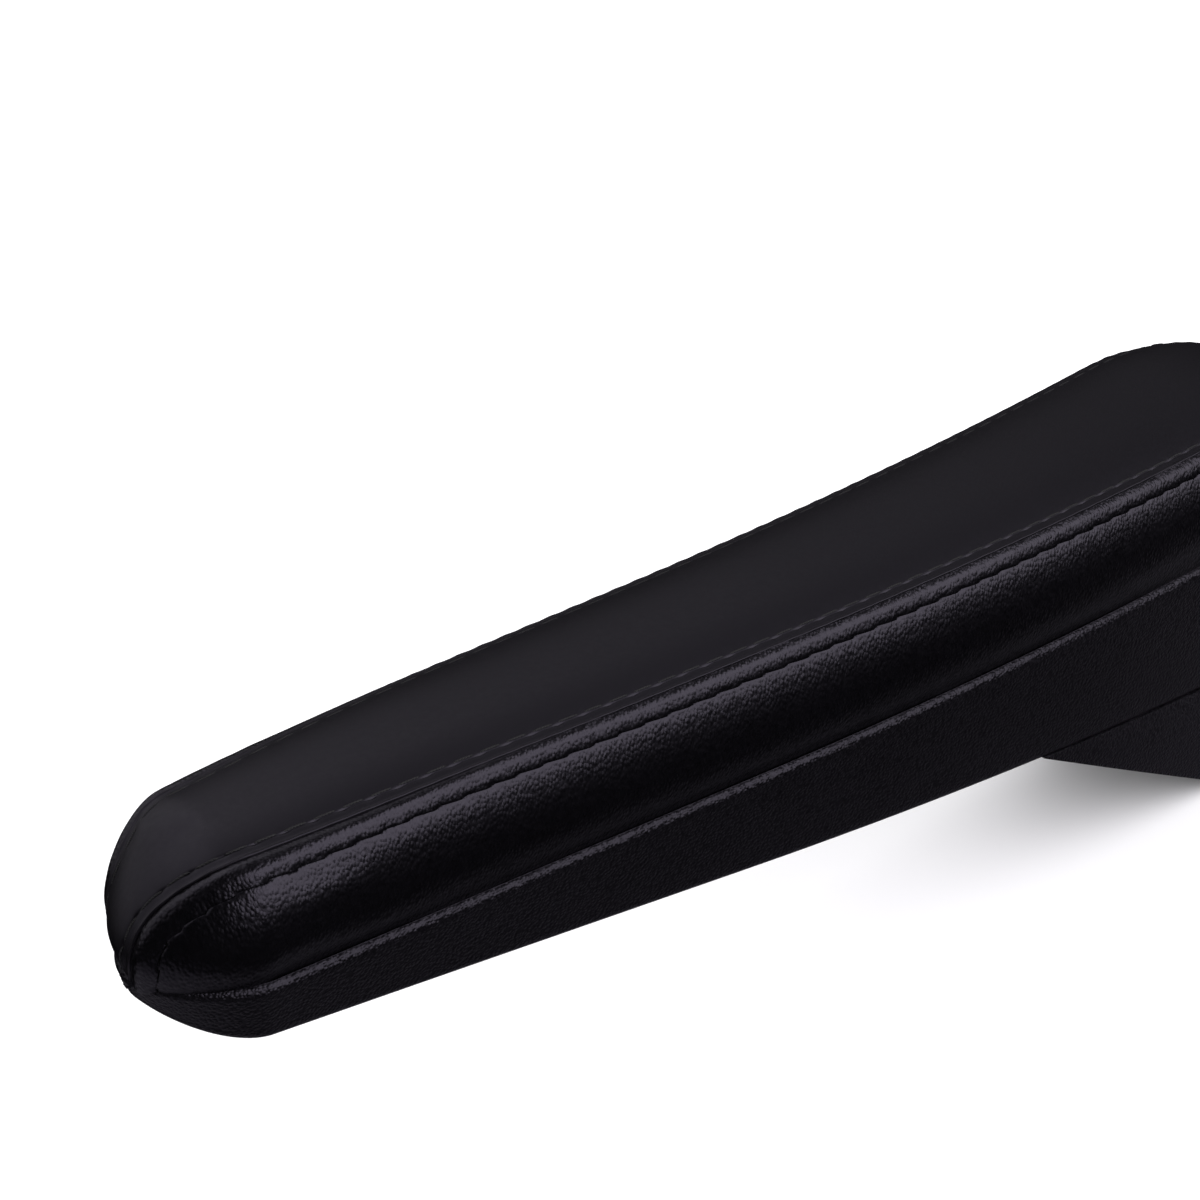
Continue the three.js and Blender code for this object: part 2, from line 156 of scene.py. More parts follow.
def grid_normals(grid: Points, outward: Points) -> Points:
    """Unit normals of a grid of points, turned the same way as outward.

    Args:
        grid: points as (columns, rows, 3).
        outward: a rough outward direction for each point.

    Returns:
        Normals as (columns, rows, 3).
    """
    along = np.gradient(grid, axis=0)
    across = np.gradient(grid, axis=1)
    n = np.cross(along, across)
    n /= np.maximum(np.linalg.norm(n, axis=2, keepdims=True), 1e-9)
    return n * np.sign(np.sum(n * outward, axis=2, keepdims=True))


# -------------------------------------------------------------------------------------- arm form


@dataclass(frozen=True)
class ArmForm:
    """Outer shape of the arm, in millimetres, shared by all the sub-assemblies."""

    nose_pivot: float = -110.0
    nose_reach: float = 23.6
    nose_power: float = 1.7
    nose_waist: float = 25.7
    nose_above: float = 26.0
    nose_below: float = 27.8
    nose_round: float = 1.62
    dip: float = 5.9
    dip_from: float = -40.0
    dip_depth: float = 30.0
    rear_pivot: float = 190.0
    rear_reach: float = 70.0
    rear_power: float = 2.2
    half: float = 21.3
    flare: float = 0.0255
    seam_depth: float = 5.2
    crown_power: float = 2.88
    bow: float = 4.4
    bow_power: float = 2.2
    tuck_out: float = 0.4
    tuck_at: float = 35.6
    rim_at: float = 34.2
    rim_slope: float = 0.0105
    core_depth: float = 20.0
    core_past: float = 40.0
    farthest: float = 90.0
    halvings: int = 34
    past_tuck: float = 1.2
    bend_start: float = 18.0
    bend_radius: float = 1500.0
    foot_x: float = 226.0

    def bend(self, x: Points) -> Points:
        """Sideways shift of the centre line."""
        return np.maximum(0.0, np.asarray(x) - self.bend_start) ** 2 / (2 * self.bend_radius)

    def seam_half(self, x: Points) -> Points:
        """Half the distance between the seams."""
        return self.half + self.flare * np.clip(x, self.nose_pivot, self.rear_pivot)

    def tuck_depth(self, x: Points) -> Points:
        """Depth of the line where the leather goes in behind the tray's rim."""
        return self.tuck_at + self.rim_slope * np.asarray(x)

    def rim_depth(self, x: Points) -> Points:
        """Depth of the top of the tray's rim."""
        return self.rim_at + self.rim_slope * np.asarray(x)

    def place(self, points: Points) -> Points:
        """Layout millimetres to metres in the part's frame.

        Args:
            points: layout points, any shape with 3 as the last axis.

        Returns:
            The same points in metres.
        """
        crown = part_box("leather_top_panel")[1].z / MM
        shift = np.array([-self.foot_x, -float(self.bend(self.foot_x)), crown])
        return (np.asarray(points) + shift) * MM

    def plan_ratio(self, x: Points, y: Points, wide: Points) -> tuple[Points, Points, Points]:
        """How far out a point lies in plan.

        Args:
            x: places along the arm.
            y: places sideways from the centre line.
            wide: half width of the outline along the body.

        Returns:
            The ratio to the outline, and how much of it is due to the nose and to the rear.
        """
        s = np.abs(y) / wide
        nose = np.maximum(0.0, (self.nose_pivot - x) / self.nose_reach)
        rear = np.maximum(0.0, (x - self.rear_pivot) / self.rear_reach)
        nose_part, rear_part = nose**self.nose_power, rear**self.rear_power
        p = np.where(x > 0, self.rear_power, self.nose_power)
        side_part = s**p
        total = np.maximum(nose_part + rear_part + side_part, 1e-12)
        return total ** (1 / p), nose_part / total, rear_part / total

    def outline(self, h: Points, x: Points, nose: Points, rear: Points) -> Points:
        """Reach of the pad's skin at a depth, as a share of its widest plan outline.

        Args:
            h: depth below the crown line.
            x: places along the arm.
            nose: how much of the reach is due to the nose.
            rear: how much of it is due to the rear.

        Returns:
            The share, 1 where the skin is widest.
        """
        w = self.seam_half(x)
        tuck = self.tuck_depth(x)
        into_dip = (self.dip_from - x) / (self.nose_reach - self.nose_pivot + self.dip_from)
        dip = self.dip * clamp01(into_dip) ** 2
        h = h - dip * clamp01((self.dip_depth - h) / (self.dip_depth - self.seam_depth))
        down = np.maximum(h, 0.0)
        crown = w * (np.minimum(down, self.seam_depth) / self.seam_depth) ** (1 / self.crown_power)
        v = np.clip((down - self.seam_depth) / (tuck - self.seam_depth), 0.0, self.past_tuck)
        bowed = self.bow * (1 - np.abs(2 * v - 1) ** self.bow_power) + self.tuck_out * v
        section = np.where(down < self.seam_depth, crown, w + bowed) / (w + self.bow)
        reach = np.where(down < self.nose_waist, self.nose_above, self.nose_below)
        arch = 1 - np.abs((down - self.nose_waist) / reach) ** self.nose_round
        tip = clamp01(arch) ** (1 / self.nose_round)
        tail = clamp01(1 - clamp01((tuck - down) / tuck) ** self.rear_power) ** (1 / self.rear_power)
        share = (1 - nose - rear) * section + nose * tip + rear * tail
        return np.where(h < 0, h, share)

    def core(self, points: Points, follow: bool = False) -> Points:
        """The middle of the foam behind each point.

        Args:
            points: layout points, any shape with 3 as the last axis.
            follow: whether the sideways bend is taken beside the point, also past the core's ends.

        Returns:
            Core points, in the same shape.
        """
        x = np.clip(points[..., 0], self.nose_pivot, self.rear_pivot + self.core_past)
        sideways = self.bend(points[..., 0] if follow else x)
        return np.stack([x, sideways, np.full(x.shape, -self.core_depth)], axis=-1)

    def onto_skin(self, guess: Points, inset: float = 0.0) -> Points:
        """Moves points straight out from the core of the pad until they lie on its skin.

        Args:
            guess: points near the skin, any shape with 3 as the last axis.
            inset: how far below the skin they stop.

        Returns:
            The moved points, in the same shape.
        """
        core = self.core(guess)
        ray = guess - core
        ray /= np.maximum(np.linalg.norm(ray, axis=-1, keepdims=True), 1e-9)
        low, high = np.zeros(guess.shape[:-1]), np.full(guess.shape[:-1], self.farthest)
        for _ in range(self.halvings):
            middle = (low + high) / 2
            p = core + ray * middle[..., None]
            wide = self.seam_half(p[..., 0]) + self.bow
            ratio, nose, rear = self.plan_ratio(p[..., 0], p[..., 1] - self.bend(p[..., 0]), wide)
            outside = ratio > self.outline(-p[..., 2], p[..., 0], nose, rear)
            high = np.where(outside, middle, high)
            low = np.where(outside, low, middle)
        return core + ray * (low - inset)[..., None]

    def plan_loop(self, wide: Callable[[Points], Points],
                  ratio: Callable[[Points, Points], Points],
                  side: Side, ends: int = 40, body: int = 150) -> Points:
        """Half of a plan outline, from the nose tip along one side to the rear tip.

        Args:
            wide: half width along the body as a function of x.
            ratio: share of that outline, as a function of the nose's and the rear's part.
            side: the side it runs along.
            ends: points on each rounded end.
            body: points along the body.

        Returns:
            Points as (x, y), y measured in the layout.
        """
        turn = np.linspace(0, math.pi / 2, ends)
        c, s = np.cos(turn), np.sin(turn)
        zero = np.zeros_like(turn)
        r = ratio(c**2, zero)
        x = self.nose_pivot - self.nose_reach * r * c ** (2 / self.nose_power)
        y = wide(np.full_like(turn, self.nose_pivot)) * r * s ** (2 / self.nose_power)
        bx = np.linspace(self.nose_pivot, self.rear_pivot, body)[1:-1]
        nothing = np.zeros_like(bx)
        by = wide(bx) * ratio(nothing, nothing)
        c, s = c[::-1], s[::-1]
        r = ratio(zero, c**2)
        rx = self.rear_pivot + self.rear_reach * r * c ** (2 / self.rear_power)
        ry = wide(np.full_like(turn, self.rear_pivot)) * r * s ** (2 / self.rear_power)
        x, y = np.concatenate([x, bx, rx]), np.concatenate([y, by, ry])
        return np.stack([x, self.bend(x) + side.value * y], axis=1)

    def tuck_line(self, side: Side) -> Points:
        """The line where the pad's skin meets the tray, from nose tip to rear tip.

        Args:
            side: the side it runs along.

        Returns:
            Layout points.
        """
        def share(nose: Points, rear: Points) -> Points:
            """Reach of the skin at the tuck."""
            x = np.where(rear > 0, self.rear_pivot, self.nose_pivot)
            return self.outline(self.tuck_depth(x), x, nose, rear)

        xy = self.plan_loop(lambda x: self.seam_half(x) + self.bow, share, side)
        return np.column_stack([xy, -self.tuck_depth(xy[:, 0])])


# ------------------------------------------------------------------------------------ mesh making


def make_piece(name: str, vertices: Points, faces: Sequence[Sequence[int]],
               form: ArmForm) -> bpy.types.Object:
    """A smooth-shaded mesh object from layout points.

    Args:
        name: the piece's name.
        vertices: layout millimetres, one row each.
        faces: vertex indices of each face.
        form: the arm's form, which places them.

    Returns:
        The new object, linked to the scene.
    """
    mesh = bpy.data.meshes.new(name)
    mesh.from_pydata(form.place(vertices).tolist(), [], [list(f) for f in faces])
    mesh.validate()
    mesh.polygons.foreach_set("use_smooth", [True] * len(mesh.polygons))
    piece = bpy.data.objects.new(name, mesh)
    bpy.context.scene.collection.objects.link(piece)
    return piece


def grid_faces(columns: int, rows: int, flip: bool = False,
               start: int = 0) -> list[tuple[int, int, int, int]]:
    """Quads of a grid whose vertex (c, r) has the index start + c * rows + r.

    Args:
        columns: how many columns of vertices.
        rows: how many vertices in each column.
        flip: whether the faces look the other way.
        start: index of the first vertex.

    Returns:
        The vertex indices of each quad.
    """
    c, r = np.meshgrid(np.arange(columns - 1), np.arange(rows - 1), indexing="ij")
    a = (start + c * rows + r).ravel()
    quads = np.stack([a, a + rows, a + rows + 1, a + 1], axis=1)
    return [tuple(q) for q in (quads[:, ::-1] if flip else quads).tolist()]


def apply_modifiers(piece: bpy.types.Object) -> None:
    """Turns what the modifiers make into the piece's own mesh.

    Args:
        piece: the object to settle.
    """
    shape = piece.evaluated_get(bpy.context.evaluated_depsgraph_get())
    mesh = bpy.data.meshes.new_from_object(shape)
    piece.modifiers.clear()
    piece.data = mesh


def thicken(piece: bpy.types.Object, thickness: float) -> None:
    """Gives a sheet its leather thickness, inwards, as a closed skin.

    Args:
        piece: the sheet.
        thickness: how thick, in millimetres.
    """
    wall = piece.modifiers.new("thickness", "SOLIDIFY")
    wall.thickness = thickness * MM
    wall.offset = -1.0
    apply_modifiers(piece)


def finish_piece(piece: bpy.types.Object, material: bpy.types.Material, slot: str,
                 *nodes: str) -> None:
    """Gives a piece its material, hangs it on the root body and hides the frame's nodes that it
    replaces.

    Args:
        piece: the finished mesh.
        material: what it is made of.
        slot: not used.
        nodes: the frame's nodes that it replaces.
    """
    piece.data.materials.clear()
    piece.data.materials.append(material)
    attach(piece, "root")
    if nodes:
        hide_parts(*nodes)
    LOG.info("%s: %d faces", piece.name, len(piece.data.polygons))


# -------------------------------------------------------------------------------------- finishes


class Shader:
    """A material's node tree, built one node at a time."""

    def __init__(self, name: str) -> None:
        """Starts a material that holds only its Principled shader."""
        self.material = bpy.data.materials.new(name)
        self.material.use_nodes = True
        self.tree = self.material.node_tree
        self.surface = self.tree.nodes["Principled BSDF"]
        self.object_space = self.add("ShaderNodeTexCoord").outputs["Object"]

    def add(self, kind: str, **settings: object) -> bpy.types.Node:
        """Adds a node.

        Args:
            kind: the node's type.
            settings: its settings; a name that isn't a setting is one of its input sockets.

        Returns:
            The new node.
        """
        node = self.tree.nodes.new(kind)
        for key, value in settings.items():
            if hasattr(node, key):
                setattr(node, key, value)
            else:
                node.inputs[key.replace("_", " ")].default_value = value
        return node

    def join(self, source: bpy.types.NodeSocket, target: bpy.types.NodeSocket) -> None:
        """Links two sockets."""
        self.tree.links.new(source, target)

    def stretched(self, scale: Colour) -> bpy.types.NodeSocket:
        """Object space, scaled along each axis.

        Args:
            scale: the factor along X, Y and Z.

        Returns:
            The socket with the scaled place.
        """
        node = self.add("ShaderNodeMapping")
        node.inputs["Scale"].default_value = scale
        self.join(self.object_space, node.inputs["Vector"])
        return node.outputs["Vector"]

    def noise(self, scale: float, detail: float,
              where: bpy.types.NodeSocket | None = None) -> bpy.types.NodeSocket:
        """A noise texture.

        Args:
            scale: how fine it is, per metre.
            detail: how many finer layers it has.
            where: the place it is taken at; object space if left out.

        Returns:
            The socket with its value.
        """
        node = self.add("ShaderNodeTexNoise", Scale=scale, Detail=detail)
        self.join(where or self.object_space, node.inputs["Vector"])
        return node.outputs["Fac"]

    def cells(self, scale: float,
              where: bpy.types.NodeSocket | None = None) -> bpy.types.NodeSocket:
        """Pebble-like cells.

        Args:
            scale: how fine they are, per metre.
            where: the place they are taken at; object space if left out.

        Returns:
            The socket with the distance from the middle of a cell.
        """
        node = self.add("ShaderNodeTexVoronoi", feature="F1", Scale=scale)
        self.join(where or self.object_space, node.inputs["Vector"])
        return node.outputs["Distance"]

    def ramp(self, value: bpy.types.NodeSocket, low: float, high: float,
             start: float, end: float) -> bpy.types.NodeSocket:
        """Maps a value from one range to another, held at both ends.

        Args:
            value: the socket to map.
            low: its value that gives start.
            high: its value that gives end.
            start: the result at low.
            end: the result at high.

        Returns:
            The socket with the result.
        """
        node = self.add("ShaderNodeMapRange")
        for key, number in zip(("From Min", "From Max", "To Min", "To Max"), (low, high, start, end)):
            node.inputs[key].default_value = number
        self.join(value, node.inputs["Value"])
        return node.outputs["Result"]

    def tint(self, value: bpy.types.NodeSocket, dark: Colour, light: Colour) -> None:
        """Colours the surface between two tones.

        Args:
            value: the socket that blends them.
            dark: the tone at 0.
            light: the tone at 1.
        """
        node = self.add("ShaderNodeValToRGB")
        node.color_ramp.elements[0].color = (*dark, 1)
        node.color_ramp.elements[1].color = (*light, 1)
        self.join(value, node.inputs["Fac"])
        self.join(node.outputs["Color"], self.surface.inputs["Base Color"])

    def bumps(self, *layers: tuple[bpy.types.NodeSocket, float]) -> None:
        """Stacks bump layers on the surface.

        Args:
            layers: pairs of a height socket and its depth in millimetres.
        """
        before = None
        for height, depth in layers:
            node = self.add("ShaderNodeBump", Distance=depth * MM, Strength=1.0)
            self.join(height, node.inputs["Height"])
            if before is not None:
                self.join(before, node.inputs["Normal"])
            before = node.outputs["Normal"]
        self.join(before, self.surface.inputs["Normal"])


@dataclass(frozen=True)
class LeatherFinish:
    """Black leather: pebbles, fine pores and slow waves over a soft sheen."""

    name: str
    dark: Colour
    light: Colour
    gloss: float
    matt: float
    specular: float
    pebble: float
    pebble_depth: float
    pore_depth: float
    crease_depth: float
    drawn: Colour = (1.0, 1.0, 1.0)

    def material(self) -> bpy.types.Material:
        """Builds the material.

        Returns:
            The new material.
        """
        s = Shader(self.name)
        where = s.stretched(self.drawn)
        pebbles = s.ramp(s.cells(self.pebble, where), 0.1, 0.75, 1.0, 0.0)
        pores = s.noise(self.pebble * 3.1, 3.0)
        creases = s.noise(self.pebble * 0.16, 4.0, where)
        s.tint(s.noise(38.0, 4.0), self.dark, self.light)
        s.join(s.ramp(s.noise(self.pebble * 0.5, 5.0), 0.3, 0.7, self.gloss, self.matt),
               s.surface.inputs["Roughness"])
        s.surface.inputs["Specular IOR Level"].default_value = self.specular
        s.surface.inputs["Specular Tint"].default_value = (*SHEEN, 1.0)
        s.bumps((creases, self.crease_depth), (pebbles, self.pebble_depth), (pores, self.pore_depth))
        return s.material


@dataclass(frozen=True)
class MouldedFinish:
    """Black moulded plastic with a spark-eroded leather grain."""

    name: str
    dark: Colour = (0.0008, 0.0007, 0.0010)
    light: Colour = (0.0018, 0.0016, 0.0022)
    gloss: float = 0.34
    matt: float = 0.44
    specular: float = 0.4
    grain: float = 1250.0
    grain_depth: float = 0.16

    def material(self) -> bpy.types.Material:
        """Builds the material.

        Returns:
            The new material.
        """
        s = Shader(self.name)
        grain = s.ramp(s.cells(self.grain), 0.1, 0.75, 1.0, 0.0)
        s.tint(s.noise(60.0, 5.0), self.dark, self.light)
        s.join(s.ramp(s.noise(self.grain * 0.7, 3.0), 0.3, 0.7, self.gloss, self.matt),
               s.surface.inputs["Roughness"])
        s.surface.inputs["Specular IOR Level"].default_value = self.specular
        s.surface.inputs["Specular Tint"].default_value = (*SHEEN, 1.0)
        s.bumps((s.noise(150.0, 3.0), 0.05), (grain, self.grain_depth),
                (s.noise(self.grain * 2.3, 3.0), 0.03))
        return s.material


@dataclass(frozen=True)
class ThreadFinish:
    """Black twisted sewing thread, with painted shade: the grooves between its plies are coloured
    darker than the ridges.
    """

    name: str
    dark: Colour = (0.002, 0.002, 0.0025)
    light: Colour = (0.008, 0.0078, 0.009)
    roughness: float = 0.55
    twist: float = 900.0

    def material(self) -> bpy.types.Material:
        """Builds the material.

        Returns:
            The new material.
        """
        s = Shader(self.name)
        ply = s.add("ShaderNodeTexWave", bands_direction="DIAGONAL", Scale=self.twist, Distortion=1.5)
        s.join(s.object_space, ply.inputs["Vector"])
        # Painted shade: the ply bands that raise the bump also colour the grooves darker and the
        # ridges lighter.
        s.tint(ply.outputs["Fac"], self.dark, self.light)
        s.join(s.ramp(ply.outputs["Fac"], 0.0, 1.0, self.roughness, self.roughness + 0.2),
               s.surface.inputs["Roughness"])
        s.bumps((ply.outputs["Fac"], 0.06))
        return s.material


@dataclass(frozen=True)
class PlainFinish:
    """A hidden or small part's finish: mottled colour, brushed roughness and a fine texture."""

    name: str
    dark: Colour
    light: Colour
    metallic: float
    roughness: float
    texture: float
    depth: float

    def material(self) -> bpy.types.Material:
        """Builds the material.

        Returns:
            The new material.
        """
        s = Shader(self.name)
        s.tint(s.noise(self.texture * 0.3, 5.0), self.dark, self.light)
        s.surface.inputs["Metallic"].default_value = self.metallic
        s.join(s.ramp(s.noise(self.texture, 4.0), 0.3, 0.7, self.roughness, self.roughness + 0.18),
               s.surface.inputs["Roughness"])
        s.bumps((s.noise(self.texture * 1.7, 4.0), self.depth))
        return s.material


@dataclass
class Finishes:
    """Every material of the arm, made once."""

    smooth: bpy.types.Material = field(init=False)
    grained: bpy.types.Material = field(init=False)
    moulded: bpy.types.Material = field(init=False)
    thread: bpy.types.Material = field(init=False)
    zinc: bpy.types.Material = field(init=False)
    coated: bpy.types.Material = field(init=False)
    foam: bpy.types.Material = field(init=False)
    board: bpy.types.Material = field(init=False)

    def __post_init__(self) -> None:
        """Builds the materials."""
        self.smooth = LeatherFinish(
            "smooth_leather", (0.0007, 0.0006, 0.0009), (0.0013, 0.0012, 0.0017),
            gloss=0.44, matt=0.5, specular=0.5, pebble=1300.0, pebble_depth=0.006,
            pore_depth=0.004, crease_depth=0.03).material()
        self.grained = LeatherFinish(
            "grained_leather", (0.0005, 0.00045, 0.0007), (0.0011, 0.0010, 0.0014),
            gloss=0.29, matt=0.37, specular=0.5, pebble=1150.0, pebble_depth=0.09,
            pore_depth=0.012, crease_depth=0.08, drawn=(1.25, 0.9, 0.75)).material()
        self.moulded = MouldedFinish("moulded_grain").material()
        self.thread = ThreadFinish("black_thread").material()
        self.zinc = PlainFinish(
            "zinc_plate", (0.42, 0.43, 0.44), (0.6, 0.61, 0.62),
            metallic=1.0, roughness=0.28, texture=900.0, depth=0.01).material()
        self.coated = PlainFinish(
            "coated_steel", (0.02, 0.02, 0.022), (0.04, 0.04, 0.043),
            metallic=0.6, roughness=0.4, texture=1400.0, depth=0.03).material()
        self.foam = PlainFinish(
            "grey_foam", (0.2, 0.19, 0.17), (0.3, 0.29, 0.26),
            metallic=0.0, roughness=0.8, texture=1500.0, depth=0.3).material()
        self.board = PlainFinish(
            "plywood", (0.3, 0.2, 0.1), (0.46, 0.33, 0.19),
            metallic=0.0, roughness=0.6, texture=350.0, depth=0.08).material()


# ------------------------------------------------------------------------------------ upholstery


@dataclass
class SeamPath:
    """The sewn line between the top panel and one cheek, from the nose's foot to the rear's foot."""

    form: ArmForm
    side: Side
    tongue_shift: float = 8.0
    nose_guides: tuple[tuple[float, float, float], ...] = (
        (-130.6, 0.6, 36.3), (-132.1, 2.6, 31.5), (-132.5, 4.0, 28.0), (-132.3, 4.8, 24.5),
        (-130.8, 5.3, 20.6), (-128.3, 6.4, 17.1), (-125.3, 8.4, 13.8), (-121.5, 10.9, 10.7),
        (-115.0, 14.1, 7.5), (-104.1, 16.3, 6.2), (-90.0, 17.6, 5.7), (-76.0, 18.5, 5.4),
        (-51.0, 19.6, 5.1))
    rear_guides: tuple[tuple[float, float, float], ...] = (
        (206.0, 26.0, 5.8), (222.0, 24.6, 8.0), (238.0, 21.0, 13.0), (248.0, 17.5, 20.0),
        (253.0, 14.5, 29.0), (254.6, 13.0, 38.2))
    body_from: float = -22.0
    body_step: float = 34.0
    shift_from: float = -95.0
    shift_over: float = 36.0
    samples: int = 1600
    batch: int = 1500
    points: Points = field(init=False)

    def __post_init__(self) -> None:
        """Lays the path on the pad's skin."""
        f = self.form
        rows = []
        for x, y, h in self.nose_guides:
            drift = self.tongue_shift * clamp01((self.shift_from - x) / self.shift_over) ** 2
            aside = 0 if self.side is Side.OUTER else 2 * drift
            rows.append((x, self.side.value * y + aside, -h))
        for x in np.arange(self.body_from, f.rear_pivot, self.body_step):
            y = self.side.value * float(f.seam_half(x))
            rows.append((x, y + float(f.bend(x)), -f.seam_depth))
        for x, y, h in self.rear_guides:
            rows.append((x, self.side.value * y + float(f.bend(x)), -h))
        path = f.onto_skin(rounded_path(np.array(rows)))
        path[0, 2] = -f.tuck_depth(path[0, 0])
        path[-1, 2] = -f.tuck_depth(path[-1, 0])
        run = path_length(path)
        self.points = at_lengths(path, np.linspace(0, run[-1], self.samples))

    @property
    def length(self) -> float:
        """Length of the seam in millimetres."""
        return float(path_length(self.points)[-1])

    def at(self, share: Points) -> Points:
        """Points at shares 0..1 of the seam's length."""
        return at_lengths(self.points, np.asarray(share) * self.length)

    def measure(self, points: Points) -> tuple[Points, Points]:
        """Distance of points from the seam, and the seam length at the nearest place.

        Args:
            points: layout points, any shape with 3 as the last axis.

        Returns:
            Distances and lengths, both in millimetres.
        """
        flat = points.reshape(-1, 3)
        a, d = self.points[:-1], np.diff(self.points, axis=0)
        size = np.sum(d * d, axis=1)
        run = path_length(self.points)
        near, along = np.empty(len(flat)), np.empty(len(flat))
        for start in range(0, len(flat), self.batch):
            part = flat[start : start + self.batch]
            gap = part[:, None, :] - a[None]
            t = clamp01(np.sum(gap * d, axis=2) / size)
            far = np.linalg.norm(gap - t[..., None] * d, axis=2)
            best = np.argmin(far, axis=1)
            rows = np.arange(len(part))
            near[start : start + self.batch] = far[rows, best]
            along[start : start + self.batch] = run[best] + t[rows, best] * np.sqrt(size[best])
        return near.reshape(points.shape[:-1]), along.reshape(points.shape[:-1])


@dataclass
class StripPatch:
    """Grid over the top panel: columns run along the arm, rows cross it from seam to seam."""

    form: ArmForm
    outer: SeamPath
    inner: SeamPath
    margin: float = 6.5
    middle_rows: int = 13
    near_rows: tuple[float, ...] = (0.0, 0.15, 0.35, 0.6, 0.85, 1.1, 1.4, 1.8, 2.3, 2.8,
                                    3.2, 3.45, 3.62, 3.78, 3.94, 4.1, 4.35, 4.8, 5.5, 6.5)
    puff: float = 3.0

    def coarse_rows(self) -> Points:
        """Row parameters for the padding simulation."""
        return np.linspace(0, 1, 11)

    def fine_rows(self) -> tuple[Points, Points]:
        """Where the rows of the finished panel lie.

        Returns:
            Each row's distance from its seam, and its share of the middle; -1 where one is unused.
        """
        near = np.array(self.near_rows)
        middle = np.linspace(0, 1, self.middle_rows + 2)[1:-1]
        distance = np.concatenate([near, np.full(len(middle), -1.0), near[::-1]])
        share = np.concatenate([np.full(len(near), -1.0), middle, np.full(len(near), -1.0)])
        return distance, share

    def shares(self, width: Points) -> Points:
        """Places of the fine rows across the panel.

        Args:
            width: the panel's width at each column.

        Returns:
            Shares 0..1 across, as (columns, rows).
        """
        distance, share = self.fine_rows()
        squeeze = np.minimum(1.0, width / 2 / self.margin)[:, None]
        edge = distance[None] * squeeze / width[:, None]
        n = len(self.near_rows)
        side = self.margin * squeeze / width[:, None]
        inside = side + share[None] * (1 - 2 * side)
        q = np.where(share[None] >= 0, inside, edge)
        q[:, -n:] = 1 - edge[:, -n:]
        return q

    def surface(self, stations: Points, q: Points) -> Points:
        """Points on the pad's skin.

        Args:
            stations: places 0..1 along the panel.
            q: places 0..1 across it, one row or one for each station.

        Returns:
            Points as (stations, rows, 3).
        """
        a, b = self.outer.at(stations)[:, None], self.inner.at(stations)[:, None]
        q = np.broadcast_to(q, (len(stations), q.shape[-1]))[..., None]
        chord = a + (b - a) * q
        lift = 4 * q * (1 - q)
        out = chord - self.form.core(chord, follow=True)
        out /= np.linalg.norm(out, axis=-1, keepdims=True)
        grid = self.form.onto_skin(chord + self.puff * lift * out)
        grid[:, 0] = np.where(q[:, 0] <= 0, a[:, 0], grid[:, 0])
        grid[:, -1] = np.where(q[:, -1] >= 1, b[:, 0], grid[:, -1])
        return grid


